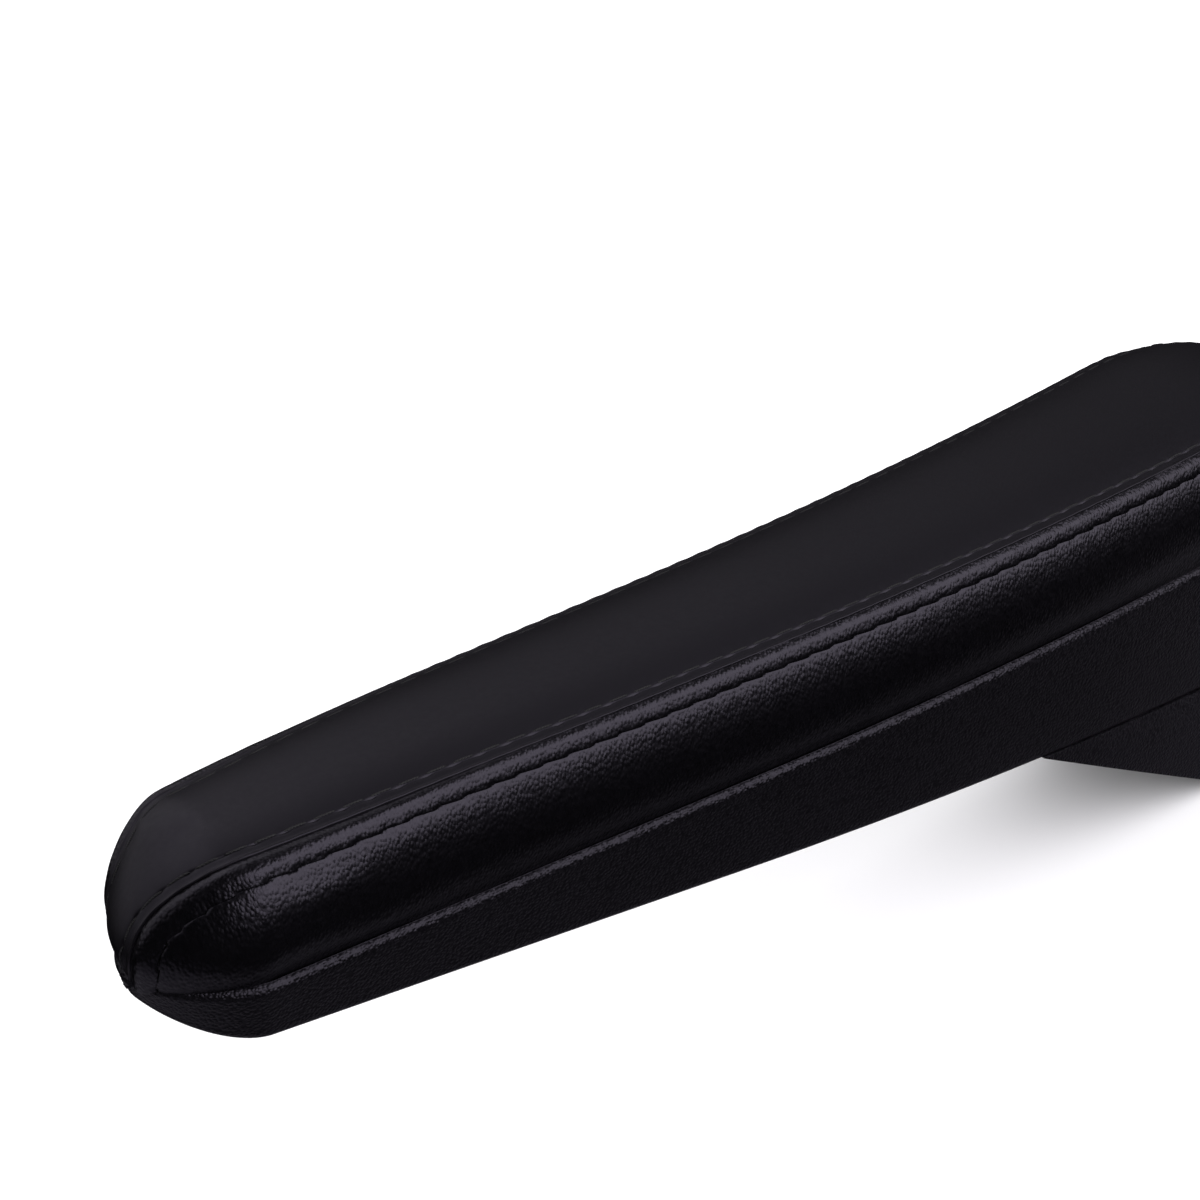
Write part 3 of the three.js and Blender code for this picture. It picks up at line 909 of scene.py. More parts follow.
@dataclass
class CheekPatch:
    """Grid over one cheek: row 0 lies on the seam, the other three edges on the tuck line."""

    form: ArmForm
    seam: SeamPath
    nose_edge: float = 20.0
    rear_edge: float = 34.0
    near: float = 7.0
    fade: float = 0.16
    straight_from: float = -80.0
    straight_to: float = 196.0
    body_from: float = -100.0
    body_to: float = 215.0
    ends_within: float = 0.05
    table_size: int = 400
    tuck: Points = field(init=False)
    span: tuple[float, float] = field(init=False)
    height: float = 33.5

    def __post_init__(self) -> None:
        """Finds the tuck line between the ends of the seam."""
        line = self.form.tuck_line(self.seam.side)
        run = path_length(line)
        start = np.argmin(np.linalg.norm(line - self.seam.points[0], axis=1))
        end = np.argmin(np.linalg.norm(line - self.seam.points[-1], axis=1))
        inner = line[start + 1 : end]
        self.tuck = np.vstack([self.seam.points[0], inner, self.seam.points[-1]])
        self.span = (float(run[start]), float(run[end]))

    @staticmethod
    def eased(share: Points, start: float, span: float, slope: float) -> Points:
        """Length reached at a share 0..1 of an end that meets the body at its slope."""
        return start + span * share + (slope - span) * (share**3 - share**2)

    def tuck_at(self, stations: Points) -> Points:
        """Tuck points that face the seam: straight across it on the body, fanned out at both ends.

        Args:
            stations: places 0..1 along the seam.

        Returns:
            One point for each station.
        """
        run = path_length(self.tuck)
        last = run[-1]
        body = (self.tuck[:, 0] > self.body_from) & (self.tuck[:, 0] < self.body_to)
        body_x, body_run = self.tuck[body, 0], run[body]
        facing = np.interp(self.seam.at(stations)[:, 0], body_x, body_run)
        table = np.linspace(0, 1, self.table_size)
        table_x = self.seam.at(table)[:, 0]
        after_nose = (table_x > self.straight_from) & (table > self.ends_within)
        before_rear = (table_x < self.straight_to) & (table < 1 - self.ends_within)
        first = table[np.argmax(after_nose)]
        final = table[len(table) - 1 - np.argmax(before_rear[::-1])]
        run_first = np.interp(self.straight_from, body_x, body_run)
        run_final = np.interp(self.straight_to, body_x, body_run)
        nose = self.eased(clamp01(stations / first), self.nose_edge,
                          run_first - self.nose_edge, self.seam.length * first)
        rear = last - self.eased(clamp01((1 - stations) / (1 - final)), self.rear_edge,
                                 (last - self.rear_edge) - run_final,
                                 self.seam.length * (1 - final))
        lengths = np.where(stations < first, nose, np.where(stations > final, rear, facing))
        return at_lengths(self.tuck, np.clip(lengths, 0, last))

    def edge_run(self, alpha: Points, length: float) -> Points:
        """Length along a side edge for each row: true distance near the seam, then even.

        Args:
            alpha: the rows, 0..1 from seam to tuck.
            length: the edge's whole length.

        Returns:
            Lengths from the seam.
        """
        near = self.near / self.height
        rest = self.near + (clamp01(alpha) - near) / (1 - near) * (length - self.near)
        return np.where(alpha < near, alpha * self.height, rest)

    def surface(self, stations: Points, alpha: Points) -> Points:
        """Points on the pad's skin.

        Args:
            stations: places 0..1 along the seam.
            alpha: rows 0..1 from the seam to the tuck.

        Returns:
            Points as (stations, rows, 3).
        """
        seam, tuck = self.seam.at(stations), self.tuck_at(stations)
        a = alpha[None, :, None]
        grid = seam[:, None] * (1 - a) + tuck[:, None] * a
        last = path_length(self.tuck)[-1]
        nose = at_lengths(self.tuck, self.edge_run(alpha, self.nose_edge))
        rear = at_lengths(self.tuck, last - self.edge_run(alpha, self.rear_edge))
        s = stations[:, None, None]
        w0 = clamp01(1 - s / self.fade) ** 3
        w1 = clamp01(1 - (1 - s) / self.fade) ** 3
        grid = grid + w0 * (nose[None] - grid[:1]) + w1 * (rear[None] - grid[-1:])
        fixed = grid.copy()
        grid = self.form.onto_skin(grid)
        grid[0], grid[-1] = fixed[0], fixed[-1]
        grid[:, 0], grid[:, -1] = seam, tuck
        return grid


@dataclass
class PadSwelling:
    """Blows the sewn cover up as cloth held at its seams, and keeps how far each panel moved."""

    form: ArmForm
    strip: StripPatch
    cheeks: dict[Side, CheekPatch]
    columns: int = 112
    cheek_rows: int = 9
    slack: float = 0.9
    cap: float = 0.8
    pressure: float = 4.0
    frames: int = 20
    quality: int = 6
    mass: float = 0.3
    stretch: float = 12.0
    bending: float = 0.6
    moved: dict[str, Points] = field(default_factory=dict)
    stations: Points = field(init=False)

    def patches(self) -> list[tuple[str, Points]]:
        """Lays the three panels on the skin.

        Returns:
            Each panel's name and coarse grid.
        """
        self.stations = np.linspace(0, 1, self.columns)
        rows = np.linspace(0, 1, self.cheek_rows)
        made = [("strip", self.strip.surface(self.stations, self.strip.coarse_rows()))]
        made += [(side.name, self.cheeks[side].surface(self.stations, rows)) for side in Side]
        return made

    def drawn_in(self, grid: Points) -> Points:
        """Pulls a grid in a little between its sewn edges, which leaves room to swell.

        Args:
            grid: a panel's coarse grid.

        Returns:
            The grid to start the cloth from.
        """
        n = grid_normals(grid, grid - self.form.core(grid, follow=True))
        across = np.sin(np.linspace(0, math.pi, grid.shape[1])) ** 0.6
        ends = np.sin(np.linspace(0, math.pi, grid.shape[0])) ** 0.25
        return grid - n * self.slack * (ends[:, None] * across[None])[..., None]

    def sewn_sheet(self, patches: list[tuple[str, Points]]
                   ) -> tuple[bpy.types.Object, dict[str, tuple[int, int, int]]]:
        """Joins the panels into one mesh whose sewn edges are in a vertex group.

        Args:
            patches: each panel's name and grid.

        Returns:
            The mesh, and each panel's first vertex, columns and rows.
        """
        vertices, faces, pins, spans = [], [], [], {}
        for name, grid in patches:
            start = len(vertices)
            n, m = grid.shape[:2]
            vertices.extend(self.drawn_in(grid).reshape(-1, 3).tolist())
            faces.extend(grid_faces(n, m, name == Side.INNER.name, start))
            edge = np.zeros((n, m), bool)
            edge[:, [0, -1]] = True
            edge[[0, -1]] = True
            pins.extend((start + np.flatnonzero(edge.ravel())).tolist())
            spans[name] = (start, n, m)
        cover = make_piece("pad_swelling", np.array(vertices), faces, self.form)
        cover.vertex_groups.new(name="sewn").add(pins, 1.0, "REPLACE")
        return cover, spans

    def make_cloth(self, cover: bpy.types.Object) -> None:
        """Turns the sheet into cloth under pressure, held where it is sewn.

        Args:
            cover: the sheet with its sewn vertex group.
        """
        cloth = cover.modifiers.new("cloth", "CLOTH")
        cloth.settings.quality = self.quality
        cloth.settings.mass = self.mass
        cloth.settings.tension_stiffness = self.stretch
        cloth.settings.compression_stiffness = self.stretch
        cloth.settings.bending_stiffness = self.bending
        cloth.settings.use_pressure = True
        cloth.settings.uniform_pressure_force = self.pressure
        cloth.settings.vertex_group_mass = "sewn"
        cloth.settings.effector_weights.gravity = 0
        cloth.point_cache.frame_start, cloth.point_cache.frame_end = 1, self.frames

    def simulate(self) -> None:
        """Runs the cloth, fills in moved in layout millimetres and removes the sheet."""
        patches = self.patches()
        cover, spans = self.sewn_sheet(patches)
        self.make_cloth(cover)
        scene = bpy.context.scene
        for step in range(1, self.frames + 1):
            scene.frame_set(step)
        shape = cover.evaluated_get(bpy.context.evaluated_depsgraph_get())
        end = np.empty(len(shape.data.vertices) * 3)
        shape.data.vertices.foreach_get("co", end)
        end = end.reshape(-1, 3) / MM - self.form.place(np.zeros(3)) / MM
        for name, grid in patches:
            start, n, m = spans[name]
            move = end[start : start + n * m].reshape(n, m, 3) - grid
            size = np.linalg.norm(move, axis=2, keepdims=True)
            self.moved[name] = move * (self.cap * np.tanh(size / self.cap) / np.maximum(size, 1e-9))
            LOG.info("swelling of %s: mean %.2f mm, most %.2f mm", name, size.mean(), size.max())
        scene.frame_set(1)
        mesh = cover.data
        bpy.data.objects.remove(cover)
        bpy.data.meshes.remove(mesh)

    def rest(self) -> None:
        """Leaves every panel on the plain skin."""
        for name, grid in self.patches():
            self.moved[name] = np.zeros_like(grid)

    def lifted(self, name: str, stations: Points, rows: Points) -> Points:
        """How far the swelling moves a fine grid.

        Args:
            name: the panel's name.
            stations: fine stations 0..1.
            rows: fine row parameters 0..1, one row or one for each station.

        Returns:
            Moves as (stations, rows, 3), in millimetres.
        """
        coarse = self.moved[name]
        along = cubic_weights(self.stations, stations)
        moves = np.einsum("ij,jrk->irk", along, coarse)
        knots = np.linspace(0, 1, coarse.shape[1])
        rows = np.broadcast_to(rows, (len(stations), rows.shape[-1]))
        return np.stack([cubic_weights(knots, row) @ move for row, move in zip(rows, moves)])


@dataclass(frozen=True)
class StripRelief:
    """How the top panel's edge stands off the plain skin: fold, beaded hem and upper stitch row."""

    hem: float = 0.34
    hem_beads: float = 0.14
    hem_at: float = 0.9
    hem_width: float = 0.5
    fold: float = 1.2
    fold_width: float = 0.7
    crease: float = 0.06
    hole: float = 0.26
    crease_width: float = 0.3
    dimple: float = 0.08
    dimple_width: float = 1.3
    hole_length: float = 0.9

    def height(self, d: Points, row: float, phase: Points, pitch: float) -> Points:
        """Height over the skin.

        Args:
            d: distance from the seam.
            row: the stitch row's distance from the seam.
            phase: place 0..1 within a stitch.
            pitch: length of a stitch.

        Returns:
            Heights in millimetres.
        """
        hole = bell(np.minimum(phase, 1 - phase) * pitch, self.hole_length)
        beads = 0.5 + 0.5 * np.cos(2 * math.pi * (phase - 0.5))
        height = (self.hem + self.hem_beads * beads) * bell(d - self.hem_at, self.hem_width)
        height = height - self.fold * (1 - smooth_step(d / self.fold_width))
        height = height - (self.crease + self.hole * hole) * bell(d - row, self.crease_width)
        return height - self.dimple * hole * bell(d - row, self.dimple_width)


@dataclass(frozen=True)
class CheekRelief:
    """How a cheek's edge stands off the plain skin: fold, puffed band and lower stitch row."""

    fold: float = 1.05
    fold_width: float = 1.7
    band: float = 0.26
    band_at: float = 3.0
    band_width: float = 1.3
    crease: float = 0.24
    hole: float = 0.4
    crease_width: float = 0.32
    valley: float = 0.1
    valley_width: float = 1.0
    pucker: float = 0.1
    pucker_reach: float = 1.7
    hole_length: float = 0.8

    def height(self, d: Points, row: Points, phase: Points, pitch: float) -> Points:
        """Height over the skin.

        Args:
            d: distance from the seam.
            row: the stitch row's distance from the seam.
            phase: place 0..1 within a stitch.
            pitch: length of a stitch.

        Returns:
            Heights in millimetres.
        """
        hole = bell(np.minimum(phase, 1 - phase) * pitch, self.hole_length)
        height = -self.fold * (1 - smooth_step(d / self.fold_width))
        height = height + self.band * bell(d - self.band_at, self.band_width)
        height = height - (self.crease + self.hole * hole) * bell(d - row, self.crease_width)
        height = height - self.valley * bell(d - row, self.valley_width)
        pucker = np.cos(2 * math.pi * phase) * np.exp(-np.abs(d - row) / self.pucker_reach)
        return height - self.pucker * pucker


@dataclass(frozen=True)
class Thread:
    """A row's thread: its radius and how deep the middle of a stitch lies below the skin."""

    radius: float
    sunk: float
    gap: float = 0.07
    dive: float = 0.55
    points: int = 10
    sides: int = 8


@dataclass
class Upholstery:
    """The stitched leather cover on its foam."""

    form: ArmForm
    finishes: Finishes
    column_step: float = 0.8
    stitch_pitch: float = 6.8
    leather: float = 1.1
    upper_row: float = 3.78
    lower_row: float = 4.4
    lower_spread: float = 1.4
    spread_from: float = 25.0
    spread_to: float = 85.0
    slant: float = 0.55
    slant_share: float = 0.86
    tuck_in: float = 1.3
    tuck_reach: float = 2.2
    foam_gap: float = 2.6
    foam_weld: float = 0.4
    strip_relief: StripRelief = StripRelief()
    cheek_relief: CheekRelief = CheekRelief()
    upper_thread: Thread = Thread(0.25, 0.04)
    lower_thread: Thread = Thread(0.32, 0.34)
    strip: StripPatch = field(init=False)
    seams: dict[Side, SeamPath] = field(init=False)
    cheeks: dict[Side, CheekPatch] = field(init=False)
    swelling: PadSwelling = field(init=False)
    stations: Points = field(init=False)
    bases: dict[str, Points] = field(default_factory=dict)

    def __post_init__(self) -> None:
        """Lays out the seams and panels."""
        self.seams = {side: SeamPath(self.form, side) for side in Side}
        self.strip = StripPatch(self.form, self.seams[Side.OUTER], self.seams[Side.INNER])
        self.cheeks = {side: CheekPatch(self.form, self.seams[side]) for side in Side}
        self.swelling = PadSwelling(self.form, self.strip, self.cheeks)
        self.stations = np.linspace(0, 1, int(self.seams[Side.OUTER].length / self.column_step))

    def stitch_phase(self, length: Points) -> Points:
        """Place 0..1 within a stitch at a length along the seam."""
        return np.mod(length / self.stitch_pitch, 1.0)

    def build(self) -> None:
        """Makes the cover, its threads and the foam."""
        self.swelling.simulate()
        self.build_strip()
        for side in Side:
            self.build_cheek(side)
            self.build_threads(side)
        self.build_foam()

    def strip_width(self, stations: Points) -> Points:
        """Straight distance between the two seams at the stations."""
        gap = self.seams[Side.OUTER].at(stations) - self.seams[Side.INNER].at(stations)
        return np.linalg.norm(gap, axis=1)

    def build_strip(self) -> None:
        """The smooth top panel with its rolled edges and the crease under each upper row."""
        s = self.stations
        q = self.strip.shares(self.strip_width(s))
        base = self.strip.surface(s, q) + self.swelling.lifted("strip", s, q)
        n = grid_normals(base, base - self.form.core(base))
        self.bases["strip"] = base
        distance, share = self.strip.fine_rows()
        d = np.where(share < 0, distance, 99.0)[None]
        length = (s * self.seams[Side.OUTER].length)[:, None]
        height = self.strip_relief.height(d, self.upper_row, self.stitch_phase(length),
                                          self.stitch_pitch)
        grid = base + n * height[..., None]
        columns, rows = grid.shape[:2]
        piece = make_piece("top_panel_leather", grid.reshape(-1, 3), grid_faces(columns, rows),
                           self.form)
        thicken(piece, self.leather)
        finish_piece(piece, self.finishes.smooth, "smooth_leather", "leather_top_panel")

    def cheek_rows(self) -> Points:
        """Where a cheek's rows lie, closest together around its stitch row.

        Returns:
            Distances from the seam, as shares of the cheek's height.
        """
        near = np.concatenate([[0, 0.12, 0.28, 0.45, 0.65, 0.9, 1.2, 1.6, 2.0, 2.4, 2.8, 3.2],
                               np.arange(3.5, 6.9, 0.2), [7.2, 7.7, 8.3, 9.0, 9.8]])
        far = np.linspace(near[-1], self.cheeks[Side.OUTER].height, 20)[1:]
        return np.concatenate([near, far]) / self.cheeks[Side.OUTER].height

    def row_line(self, length: Points) -> Points:
        """Distance of the lower row from the seam, where each stitch lies at a slant.

        Args:
            length: lengths along the seam.

        Returns:
            Distances in millimetres.
        """
        phase, share = self.stitch_phase(length), self.slant_share
        slant = np.where(phase < share, phase / share - 0.5, 0.5 - (phase - share) / (1 - share))
        into = (length - self.spread_from) / (self.spread_to - self.spread_from)
        spread = self.lower_spread * (1 - smooth_step(into))
        return self.lower_row + spread + self.slant * slant

    def build_cheek(self, side: Side) -> None:
        """A grained cheek: puffed band, puckered lower row and the swelling body below it.

        Args:
            side: the side it covers.
        """
        rows = self.cheek_rows()
        s = self.stations
        base = self.cheeks[side].surface(s, rows) + self.swelling.lifted(side.name, s, rows)
        n = grid_normals(base, base - self.form.core(base))
        n[0], n[-1] = n[1], n[-2]
        self.bases[side.name] = base
        d, length = self.seams[side].measure(base)
        height = self.cheek_relief.height(d, self.row_line(length), self.stitch_phase(length),
                                          self.stitch_pitch)
        whole = self.cheeks[side].height
        tuck = clamp01((rows * whole - whole + self.tuck_reach) / self.tuck_reach)[None]
        grid = base + n * (height * (1 - tuck))[..., None] - n * (self.tuck_in * tuck**2)[..., None]
        columns, count = grid.shape[:2]
        piece = make_piece(f"{side.name.lower()}_cheek_leather", grid.reshape(-1, 3),
                           grid_faces(columns, count, side is Side.INNER), self.form)
        thicken(piece, self.leather)
        finish_piece(piece, self.finishes.grained, "grained_leather",
                     f"leather_{side.name.lower()}_cheek")

    def skin_tree(self, name: str) -> BVHTree:
        """A search tree over a panel's base surface."""
        base = self.bases[name]
        return BVHTree.FromPolygons(base.reshape(-1, 3).tolist(), grid_faces(*base.shape[:2]))

    def build_threads(self, side: Side) -> None:
        """Both rows of topstitching beside one seam, every stitch its own loop of thread."""
        self.thread_row(side, "upper", "strip", self.upper_line, self.upper_thread)
        self.thread_row(side, "lower", side.name, self.row_line, self.lower_thread)

    def upper_line(self, length: Points) -> Points:
        """Distance of the upper row from the seam, towards the top panel and so negative."""
        return np.full_like(length, -self.upper_row)

    def thread_row(self, side: Side, row: str, panel: str, away: Callable[[Points], Points],
                   thread: Thread) -> None:
        """One row of stitches.

        Args:
            side: the seam that it follows.
            row: upper or lower.
            panel: the panel that it is sewn on.
            away: distance from the seam at a seam length, negative towards the top panel.
            thread: the thread it is sewn with.
        """
        seam, tree = self.seams[side], self.skin_tree(panel)
        vertices: list[list[float]] = []
        faces: list[Sequence[int]] = []
        for k in range(1, int(seam.length / self.stitch_pitch) - 1):
            t = np.linspace(thread.gap, 1 - thread.gap, thread.points)
            length = (k + t) * self.stitch_pitch
            here = at_lengths(seam.points, length)
            ahead = at_lengths(seam.points, length + 0.5) - at_lengths(seam.points, length - 0.5)
            ahead /= np.linalg.norm(ahead, axis=1, keepdims=True)
            up = here - self.form.core(here)
            up /= np.linalg.norm(up, axis=1, keepdims=True)
            out = np.cross(ahead, up) * (1 if side is Side.OUTER else -1)
            gap = away(length)
            if row == "upper":
                width = self.strip_width(length / seam.length)
                gap = gap * np.minimum(1.0, width / 2 / self.strip.margin)
            guess = here + out * gap[:, None]
            sunk = thread.sunk + thread.dive * (np.abs(2 * t - 1.0) ** 4)
            path = []
            for p, depth in zip(guess, sunk):
                spot, normal, _, _ = tree.find_nearest(Vector(p))
                n = np.array(normal)
                n *= np.sign(np.dot(n, np.array(spot) - self.form.core(np.array([spot]))[0]))
                path.append(np.array(spot) - n * depth)
            add_tube(vertices, faces, np.array(path), thread.radius, thread.sides)
        name = f"{row}_{side.name.lower()}_stitches"
        piece = make_piece(name, np.array(vertices), faces, self.form)
        finish_piece(piece, self.finishes.thread, "thread", f"topstitch_{row}_{side.name.lower()}")

    def build_foam(self) -> None:
        """The swollen foam under the cover, as one closed body."""
        s = self.swelling.stations
        rows = np.linspace(0, 1, self.swelling.cheek_rows)
        vertices: list[list[float]] = []
        faces: list[Sequence[int]] = []
        for name, patch, across in (("strip", self.strip, self.strip.coarse_rows()),
                                    *((side.name, self.cheeks[side], rows) for side in Side)):
            grid = patch.surface(s, across) + self.swelling.moved[name]
            inward = self.form.core(grid) - grid
            inward /= np.linalg.norm(inward, axis=2, keepdims=True)
            start = len(vertices)
            vertices.extend((grid + inward * self.foam_gap).reshape(-1, 3).tolist())
            faces.extend(grid_faces(*grid.shape[:2], name == Side.INNER.name, start))
        piece = make_piece("foam_fill", np.array(vertices), faces, self.form)
        weld = piece.modifiers.new("weld", "WELD")
        weld.merge_threshold = self.foam_weld * MM
        apply_modifiers(piece)
        close_bottom(piece)
        finish_piece(piece, self.finishes.foam, "foam", "foam_core")


def close_bottom(piece: bpy.types.Object) -> None:
    """Fills the open underside of a piece with flat faces.

    Args:
        piece: the object to close.
    """
    work = bmesh.new()
    work.from_mesh(piece.data)
    rim = [e for e in work.edges if e.is_boundary]
    bmesh.ops.holes_fill(work, edges=rim, sides=0)
    bmesh.ops.triangulate(work, faces=[f for f in work.faces if len(f.verts) > 4])
    bmesh.ops.recalc_face_normals(work, faces=work.faces)
    work.to_mesh(piece.data)
    work.free()


def add_tube(vertices: list, faces: list, path: Points, radius: float, around: int) -> None:
    """Adds a closed round tube with tapered ends along a path.

    Args:
        vertices: the list that its vertices join.
        faces: the list that its faces join.
        path: the points of its middle line.
        radius: its radius.
        around: how many sides it has.
    """
    start = len(vertices)
    tangent = np.gradient(path, axis=0)
    tangent /= np.linalg.norm(tangent, axis=1, keepdims=True)
    level = np.cross(tangent, np.array([0.0, 0.0, 1.0]) + 1e-6)
    level /= np.linalg.norm(level, axis=1, keepdims=True)
    other = np.cross(tangent, level)
    angle = np.linspace(0, 2 * math.pi, around, endpoint=False)
    share = np.linspace(-1, 1, len(path))
    size = radius * np.sqrt(np.maximum(0.12, 1 - np.abs(share) ** 6))
    for p, a, b, r in zip(path, level, other, size):
        vertices.extend((p + r * (np.cos(angle)[:, None] * a + np.sin(angle)[:, None] * b)).tolist())
    for i in range(len(path) - 1):
        for j in range(around):
            a, b = start + i * around + j, start + i * around + (j + 1) % around
            faces.append((a, b, b + around, a + around))
    faces.append(tuple(range(start, start + around))[::-1])
    faces.append(tuple(range(start + (len(path) - 1) * around, start + len(path) * around)))


# ------------------------------------------------------------------------------------------ tray


@dataclass
class Tray:
    """The moulded tray that carries the pad: rolled rim, drafted wall and rounded floor."""

    form: ArmForm
    finishes: Finishes
    overhang: float = 3.5
    lip: float = 1.7
    roll: float = 1.9
    bottom: float = 58.9
    bottom_slope: float = 0.0956
    draw: float = 2.8
    edge: float = 2.6
    seat_drop: float = 1.9
    rear_edge: float = 14.0
    rear_power: float = 2.4
    nose_power: float = 2.2
    nose_short: float = 0.07
    lip_round: tuple[tuple[float, float], ...] = ((0.0, 0.5), (0.15, 0.12), (0.45, 0.0))
    roll_share: float = 0.75
    roll_rings: int = 8
    wall_from: float = 0.06
    wall_to: float = 0.72
    wall_rings: int = 9
    reach_fade: float = 0.7
    end_points: int = 36
    body_points: int = 130

    def depth(self, x: Points) -> Points:
        """Height of the tray from rim to floor."""
        return self.bottom + self.bottom_slope * np.asarray(x) - self.form.rim_depth(x)

    def profile(self) -> list[tuple[float, Callable[[Points], Points]]]:
        """The rings from inside the rim over its roll.

        Returns:
            Each ring's distance inwards, and its depth as a function of the tray's full depth.
        """
        rings = [(self.lip - step, lambda deep, drop=drop: np.full_like(deep, drop))
                 for step, drop in ((0.0, self.seat_drop), *self.lip_round)]
        for turn in np.linspace(0, math.pi / 2, self.roll_rings):
            inset = self.roll * (1 - math.sin(turn))
            drop = self.roll * (1 - math.cos(turn))
            rings.append((inset * self.roll_share,
                          lambda deep, drop=drop: np.full_like(deep, drop)))
        return rings

    def build(self) -> None:
        """Makes the tray shell."""
        f = self.form
        rings = [(lambda depth, full, inset=inset: np.full_like(depth, inset), drop, False)
                 for inset, drop in self.profile()]
        foot = np.sin(np.linspace(0, math.pi / 2, self.wall_rings))[1:]
        levels = np.concatenate([np.linspace(self.wall_from, self.wall_to, self.wall_rings),
                                 self.wall_to + (1 - self.wall_to) * foot])
        rings += [(self.wall_inset,
                   lambda full, level=level: self.roll + (full - self.roll) * level, True)
                  for level in levels]
        loops = []
        for inset, drop, fade in rings:
            outer = self.half_loop(Side.OUTER, inset, drop, fade)
            inner = self.half_loop(Side.INNER, inset, drop, fade)
            loops.append(np.vstack([outer, inner[::-1][1:-1]]))
        count = len(loops[0])
        vertices = np.vstack(loops)
        faces: list[Sequence[int]] = []
        for level in range(len(loops) - 1):
            for j in range(count):
                a, b = level * count + j, level * count + (j + 1) % count
                faces.append((a, b, b + count, a + count))
        for level, flip in ((0, False), (len(loops) - 1, True)):
            faces.extend(self.cross_strips(level * count, count, flip))
        piece = make_piece("moulded_tray", vertices, faces, f)
        finish_piece(piece, self.finishes.moulded, "moulding", "arm_tray")

    def fade(self, x: Points) -> Points:
        """How much of the tray's depth is left; it runs out at both tips.

        Args:
            x: places along the arm.

        Returns:
            Shares 0..1 of the full depth.
        """
        nose = clamp01((self.form.nose_pivot - x) / self.form.nose_reach)
        rear_tip = self.form.rear_pivot + self.form.rear_reach
        rear = clamp01((x - rear_tip + self.rear_edge) / self.rear_edge)
        at_nose = (1 - nose**self.nose_power) ** (1 / self.nose_power)
        return at_nose * (1 - rear**self.rear_power) ** (1 / self.rear_power)

    def half_loop(self, side: Side, inset: Callable[[Points, Points], Points],
                  drop: Callable[[Points], Points], fade: bool) -> Points:
        """Half of one ring around the tray.

        Args:
            side: the side it runs along.
            inset: how far inside the rim's outline, as a function of the depth below the rim.
            drop: depth below the rim as a function of the tray's full depth.
            fade: whether depth and inset run out at the tips.

        Returns:
            Layout points from nose tip to rear tip.
        """
        f = self.form
        xy = f.plan_loop(lambda x: f.seam_half(x) + self.overhang,
                         lambda nose, rear: 1 - self.nose_short * nose,
                         side, self.end_points, self.body_points)
        centre_x = np.clip(xy[:, 0], f.nose_pivot, f.rear_pivot)
        centre = np.stack([centre_x, f.bend(xy[:, 0])], axis=1)
        inward = centre - xy
        size = np.maximum(np.linalg.norm(inward, axis=1), 1e-6)
        left = self.fade(xy[:, 0]) if fade else np.ones(len(xy))
        full = self.depth(xy[:, 0])
        depth = drop(full)
        reach = inset(depth, full) * (left**self.reach_fade if fade else 1.0)
        moved = xy + inward / size[:, None] * np.minimum(reach, size)[:, None]
        roll = np.minimum(depth, self.roll)
        return np.column_stack([moved, -f.rim_depth(xy[:, 0]) - roll - (depth - roll) * left])

    def wall_inset(self, depth: Points, full: Points) -> Points:
        """Draft of the wall and the rounding of its bottom edge.

        Args:
            depth: depths below the rim.
            full: the tray's full depth at the same places.

        Returns:
            Distances inwards from the rim's outline.
        """
        low = clamp01((depth - (full - self.edge)) / self.edge)
        draft = self.draw * np.minimum((depth - self.roll) / (full - self.edge - self.roll), 1.0)
        return draft + self.edge * (1 - np.sqrt(np.maximum(0.0, 1 - low**2)))

    @staticmethod
    def cross_strips(start: int, count: int, flip: bool) -> list[Sequence[int]]:
        """Faces that close a loop straight across, from one side to the other.

        Args:
            start: index of the loop's first vertex.
            count: how many vertices it has.
            flip: whether the faces look the other way.

        Returns:
            The vertex indices of each face.
        """
        half = count // 2
        faces = []
        for j in range(half):
            a, b = j, j + 1
            c, d = (count - j - 1) % count, (count - j) % count
            quad = [a, b, c, d] if d != a else [a, b, c]
            quad = list(dict.fromkeys(quad))
            if len(quad) > 2:
                ring = [start + v for v in quad]
                faces.append(ring[::-1] if flip else ring)
        return faces


# --------------------------------------------------------------------------------------- bracket


